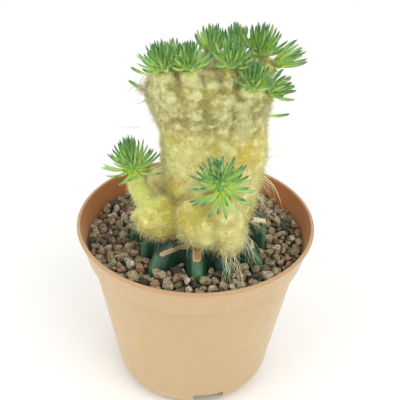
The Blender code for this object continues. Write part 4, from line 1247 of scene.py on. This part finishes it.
class OBJECT_OT_graft_wool(bpy.types.Operator):
    """Grow the short fuzz, the curved hairs, the fringe, the dry curls and the long bristles on the scion."""

    bl_idname = "object.graft_wool"
    bl_label = "Wool"

    def execute(self, context):
        look = context.scene.graft_scion
        draw = np.random.default_rng(look.seed)
        body = bpy.data.objects["scion_body"].data
        puff = painted(body, "puff")
        young = painted(body, "young")
        heights = points_of(body)[:, 2] / MM
        facing = normals_of(body)
        wool_look = hair_material("wool", PALE_WOOL, DEEP_WOOL)

        spots, ways, nearest = surface_samples(body, look.fuzz, draw, (0.5 + puff) * (1 - 0.5 * young))
        lengths = draw.uniform(1.0, 2.3, len(spots)) * MM * (1 - 0.4 * young[nearest])
        lengths = np.where(spots[:, 2] < LOBE_TOP_Z * MM, lengths * 1.3, lengths)
        curves = bent_curves(spots, ways, lengths, 0.5, 0.1, 0.1 * MM, draw)
        curves[:, 1] = (curves[:, 0] + curves[:, 2]) / 2
        radii = draw.uniform(0.045, 0.075, len(spots)) * MM
        # Each hair takes its patch's colour share, painted light and shade on the lobes included
        shades = np.clip(0.85 * (1 - puff[nearest]) + draw.uniform(-0.25, 0.3, len(spots)), 0, 1)
        mesh = strands("wool_fuzz", curves, radii, shades, rings=1)
        place(object_of(mesh, "wool_fuzz"), "scion_wool", wool_look)

        fringed = np.interp(heights, (98, 122), (1.0, 0.2)) * np.clip(0.9 - facing[:, 2], 0, 1) * (1 - young)
        groups = (
            (look.hairs, (1.5 - puff) * (1 - 0.6 * young), (1.8, 4.0), 0.35),
            (look.fringe, fringed, (3.0, 7.0), 0.6),
        )
        curves, radii, shades = [], [], []
        for count, weights, (shortest, longest), droop in groups:
            spots, ways, nearest = surface_samples(body, count, draw, weights)
            lengths = draw.uniform(shortest, longest, count) * MM * (1 - 0.4 * young[nearest])
            curves.append(bent_curves(spots, ways, lengths, 0.55, droop, 0.1 * MM, draw))
            radii.append(draw.uniform(0.04, 0.07, count) * MM)
            shades.append(np.clip(0.7 * (1 - puff[nearest]) + draw.uniform(-0.45, 0.5, count), 0, 1))
        curves, radii, shades = (np.concatenate(parts) for parts in (curves, radii, shades))
        mesh = strands("wool_hairs", curves, radii, shades, rings=2)
        place(object_of(mesh, "wool_hairs"), "scion_wool", wool_look)

        gaps = np.interp(heights, (104, 126, 136, 150), (0.05, 0.12, 0.6, 1.0)) * (1.1 - puff) ** 2
        gaps *= (1 - 0.9 * young) * (0.4 + np.abs(facing[:, 0]))
        spots, ways, _ = surface_samples(body, look.curls, draw, gaps)
        curves = bent_curves(spots, ways, draw.uniform(1.3, 3.4, len(spots)) * MM, 0.9, 0.1, 0.1 * MM, draw)
        radii = draw.uniform(0.04, 0.085, len(spots)) * MM
        mesh = strands("wool_curls", curves, radii, draw.random(len(spots)), rings=3)
        curl_look = hair_material("wool_curls", [DRY_CURL] * 3, [DARK_CURL] * 3)
        place(object_of(mesh, "wool_curls"), "scion_wool", curl_look)

        curves, shades, radii = bristle_curves(draw)
        mesh = strands("bristles", curves, radii, shades, sides=5, rings=14, wave=BRISTLE_WAVE * MM)
        bristle_look = hair_material("bristles", [PALE_BRISTLE] * 3, [DARK_BRISTLE] * 3)
        place(object_of(mesh, "bristles"), "scion_wool", bristle_look)
        return {"FINISHED"}


def leaf_profile(along):
    """Width of a leaf along its length: slim at the root, fullest before the middle, bluntly pointed."""
    swell = 0.66 + 0.34 * np.sin(np.clip(along / 0.5, 0, 1) * math.pi / 2)
    close = np.sqrt(np.clip(1 - np.clip((along - 0.42) / 0.58, 0, 1) ** 1.7, 0, 1))
    return swell * (0.1 + 0.9 * close)


def stem_of(seat, way):
    """Foot of a stem, just off its seat, and its axis."""
    axis = Vector(way).normalized()
    return Vector(seat) + axis * SEAT_GAP, axis


def leaf_line(root, axis, side, tilt, length):
    """Root, bend and tip of a leaf that leans from the stem's axis and curves back towards it."""
    lean = math.radians(tilt)
    start = axis * math.cos(lean) + side * math.sin(lean)
    inward = math.radians(max(tilt - LEAF_UPSWEEP, 0))
    end = axis * math.cos(inward) + side * math.sin(inward)
    middle = root + start * length * LEAF_BEND_SHARE
    return root, middle, middle + end * length * (1 - LEAF_BEND_SHARE)


def leaf_is_clear(line, tree, room):
    """Whether a leaf keeps off the scion past its root."""
    root, middle, tip = line
    spots = [middle.lerp(tip, share) for share in (0.0, 0.5, 1.0)] + [root.lerp(middle, 0.7)]
    return all(tree.find_nearest(spot * MM)[3] > room * MM for spot in spots)


def tuft_lines(row, tree, draw):
    """Lines and sizes of one tuft's leaves, from its lowest to its top."""
    name, seat, way, count, length, stem, radius, tilt, _ = row
    foot, axis = stem_of(seat, way)
    facing = axis.to_track_quat("Z", "Y")
    shortest, flatness = OPEN_TUFT if name in OPEN_TUFTS else CLOSED_TUFT
    lines = []
    turn = draw.uniform(0, 360)
    for index in range(count):
        share = index / (count - 1)
        turn += LEAF_TURN
        side = facing @ polar(1.0, turn, 0.0)
        root = foot + axis * stem * (0.2 + 0.72 * share) + side * radius * (0.78 - 0.7 * share)
        size = length * (1 - (1 - shortest) * share**flatness) * draw.uniform(0.86, 1.08)
        wanted = tilt + (TOP_LEAF_TILT - tilt) * share**flatness + draw.uniform(-6, 6)
        for step in range(TILT_STEPS):
            line = leaf_line(root, axis, side, wanted - TILT_STEP * step, size)
            if leaf_is_clear(line, tree, LEAF_ROOM):
                lines.append((line, share))
                break
    return lines


def leaf_material(look):
    """Fleshy leaf: yellow-green root, mid green, dark grey-green tip."""
    recipe = Recipe("leaf_skin")
    along = recipe.attribute("along")
    # The shade number holds random tone and, on upright leaves, painted shade
    shade = recipe.ramp(recipe.attribute("shade"), 0.0, 0.9)
    body = recipe.mix(shade, look.middle, look.pale)
    lower = recipe.mix(recipe.ramp(along, 0.14, 0.5), look.root, body)
    paler = recipe.ramp(shade, 0.3, 1.0, 0.95, 0.35)
    darkened = recipe.maths("MULTIPLY", recipe.ramp(along, 0.52, 0.95), paler)
    fresh = recipe.mix(darkened, lower, look.tip)
    recipe.set(Base_Color=fresh, Roughness=0.42)
    recipe.relief(coarse=500.0, fine=2800.0, fine_share=0.4, distance=0.0002, strength=0.4)
    recipe.soften(0.45, (0.002, 0.003, 0.0008), 0.8)
    recipe.set(Coat_Weight=0.25, Coat_Roughness=0.35)
    return recipe.material


class OBJECT_OT_graft_leaves(bpy.types.Operator):
    """Grow each tuft of leaves on its growing tip, and the single leaves."""

    bl_idname = "object.graft_leaves"
    bl_label = "Leaves"

    def execute(self, context):
        look = context.scene.graft_leaves
        draw = random.Random(look.seed)
        body = bpy.data.objects["scion_body"]
        tree = BVHTree.FromObject(body, context.evaluated_depsgraph_get())
        material = leaf_material(look)
        for row in TUFTS:
            name, seat, way, _, length, stem, radius, _, plump = row
            lines = tuft_lines(row, tree, draw)
            curves = np.array([[point[:] for point in line] for line, _ in lines]) * MM
            radii = np.array([draw.uniform(0.88, 1.1) * (1 - 0.25 * share) for _, share in lines])
            radii *= plump * look.half
            # Random tone plus painted shade: the more upright a leaf, the lower its shade number, so the
            # darker its body and tip
            upright = (curves[:, 2, 2] - curves[:, 0, 2]) / (length * MM)
            shades = np.clip(np.array([draw.uniform(0.2, 0.95) for _ in lines]) - 0.38 * upright, 0, 1)
            leaves = strands(name + "_leaves", curves, radii, shades, sides=6, rings=8, profile=leaf_profile)
            foot, axis = stem_of(seat, way)
            core = np.array([[(foot + axis * stem * share)[:] for share in (0.0, 0.6, 1.1)]]) * MM
            width, shade = np.array([radius * MM]), np.array([0.0])
            bud = strands("bud", core, width, shade, sides=12, rings=6, profile=leaf_profile)
            bm = bmesh.new()
            bm.from_mesh(leaves)
            bm.from_mesh(bud)
            bm.to_mesh(leaves)
            bm.free()
            place(object_of(leaves, name + "_leaves"), "leaf_skin", material, name)
        for name, seat, way, length in SINGLE_LEAVES:
            foot, axis = stem_of(seat, way)
            tip = foot + axis * length + Vector((0, 0, 0.8))
            curve = np.array([[foot[:], foot.lerp(tip, 0.5)[:], tip[:]]]) * MM
            curve[0, 1, 2] -= 0.8 * MM
            width, shade = np.array([look.half]), np.array([0.2])
            mesh = strands(name, curve, width, shade, sides=8, rings=10, profile=leaf_profile)
            place(object_of(mesh, name + "_fine"), "leaf_skin", material, name)
        return {"FINISHED"}


def photo_camera():
    """Place and facing of the camera that took the photograph."""
    rise = math.radians(CAMERA_ELEVATION)
    roll = math.radians(CAMERA_ROLL)
    back = Vector((0, -math.cos(rise), math.sin(rise)))
    upward = Vector((0, math.sin(rise), math.cos(rise)))
    right = Vector((1, 0, 0))

    def ray(across, down):
        """Direction through a pixel of the photograph."""
        a, b = across - AIM_PIXEL[0], down - AIM_PIXEL[1]
        u = math.cos(roll) * a + math.sin(roll) * b
        v = -math.sin(roll) * a + math.cos(roll) * b
        return (right * u / FOCAL_PIXELS - upward * v / FOCAL_PIXELS - back).normalized()

    ahead = ray(PHOTO_MIDDLE, PHOTO_MIDDLE)
    beside = ray(PHOTO_MIDDLE + 100, PHOTO_MIDDLE)
    side = (beside - ahead * beside.dot(ahead)).normalized()
    matrix = Matrix((side, side.cross(ahead), -ahead)).transposed().to_4x4()
    matrix.translation = (Vector((0, 0, AIM_HEIGHT)) + back * CAMERA_DISTANCE) * MM
    return matrix


def add_light(name, spot, power, size):
    """Soft square light that faces the plant."""
    light = bpy.data.lights.new(name, "AREA")
    light.energy = power
    light.size = size
    item = object_of(light, name)
    item.location = spot
    item.rotation_euler = (Vector((0, 0, 0.1)) - item.location).to_track_quat("-Z", "Y").to_euler()


class OBJECT_OT_graft_stage(bpy.types.Operator):
    """Set the floor, the lights and the camera."""

    bl_idname = "object.graft_stage"
    bl_label = "Stage"

    def execute(self, context):
        look = context.scene.graft_stage
        scene = context.scene
        bm = bmesh.new()
        bmesh.ops.create_grid(bm, x_segments=2, y_segments=2, size=3000.0)
        floor = object_of(mesh_of(bm, "floor"), "floor")
        recipe = Recipe("floor")
        recipe.set(Base_Color=look.floor, Roughness=0.7)
        floor.data.materials.append(recipe.material)
        scene.world = bpy.data.worlds.new("studio")
        scene.world.use_nodes = True
        background = scene.world.node_tree.nodes["Background"]
        background.inputs["Color"].default_value = (1.0, 1.0, 0.985, 1.0)
        background.inputs["Strength"].default_value = look.ambient
        add_light("key", (0.45, -0.5, 0.72), look.key, 0.7)
        add_light("fill", (-0.6, -0.35, 0.5), look.fill, 0.7)
        camera = bpy.data.cameras.new("camera")
        camera.lens = FOCAL_PIXELS / PHOTO_SIZE * SENSOR_WIDTH
        camera.sensor_width = SENSOR_WIDTH
        camera.clip_start = 0.01
        item = object_of(camera, "camera")
        item.matrix_world = photo_camera()
        scene.camera = item
        scene.view_settings.view_transform = "Standard"
        return {"FINISHED"}


class VIEW3D_PT_graft(bpy.types.Panel):
    """Sizes and colours of the plant, with a button for each group of pieces."""

    bl_idname = "VIEW3D_PT_graft"
    bl_label = "Cactus graft"
    bl_space_type = "VIEW_3D"
    bl_region_type = "UI"
    bl_category = "Cactus"

    def draw(self, context):
        for name, group in LOOKS.items():
            box = self.layout.box()
            box.label(text=group.__doc__)
            settings = getattr(context.scene, name)
            for field in group.__annotations__:
                box.prop(settings, field)
        for operator in OPERATORS:
            self.layout.operator(operator.bl_idname)


LOOKS = {
    "graft_pot": GraftPot,
    "graft_gravel": GraftGravel,
    "graft_stock": GraftStock,
    "graft_scion": GraftScion,
    "graft_leaves": GraftLeaves,
    "graft_stage": GraftStage,
}
OPERATORS = (
    OBJECT_OT_graft_stage,
    OBJECT_OT_graft_pot,
    OBJECT_OT_graft_mix,
    OBJECT_OT_graft_gravel,
    OBJECT_OT_graft_stock,
    OBJECT_OT_graft_scion,
    OBJECT_OT_graft_wool,
    OBJECT_OT_graft_leaves,
)


def register():
    """Add the looks, the operators and the panel."""
    for name, group in LOOKS.items():
        bpy.utils.register_class(group)
        setattr(bpy.types.Scene, name, PointerProperty(type=group))
    for kind in (*OPERATORS, VIEW3D_PT_graft):
        bpy.utils.register_class(kind)


def unregister():
    """Take them away again."""
    for kind in (VIEW3D_PT_graft, *reversed(OPERATORS)):
        bpy.utils.unregister_class(kind)
    for name, group in LOOKS.items():
        delattr(bpy.types.Scene, name)
        bpy.utils.unregister_class(group)


def main():
    """Build every piece."""
    register()
    bpy.ops.object.graft_stage()
    bpy.ops.object.graft_pot()
    bpy.ops.object.graft_mix()
    bpy.ops.object.graft_gravel()
    bpy.ops.object.graft_stock()
    bpy.ops.object.graft_scion()
    bpy.ops.object.graft_wool()
    bpy.ops.object.graft_leaves()
    bpy.context.view_layer.update()


if __name__ == "__main__":
    main()
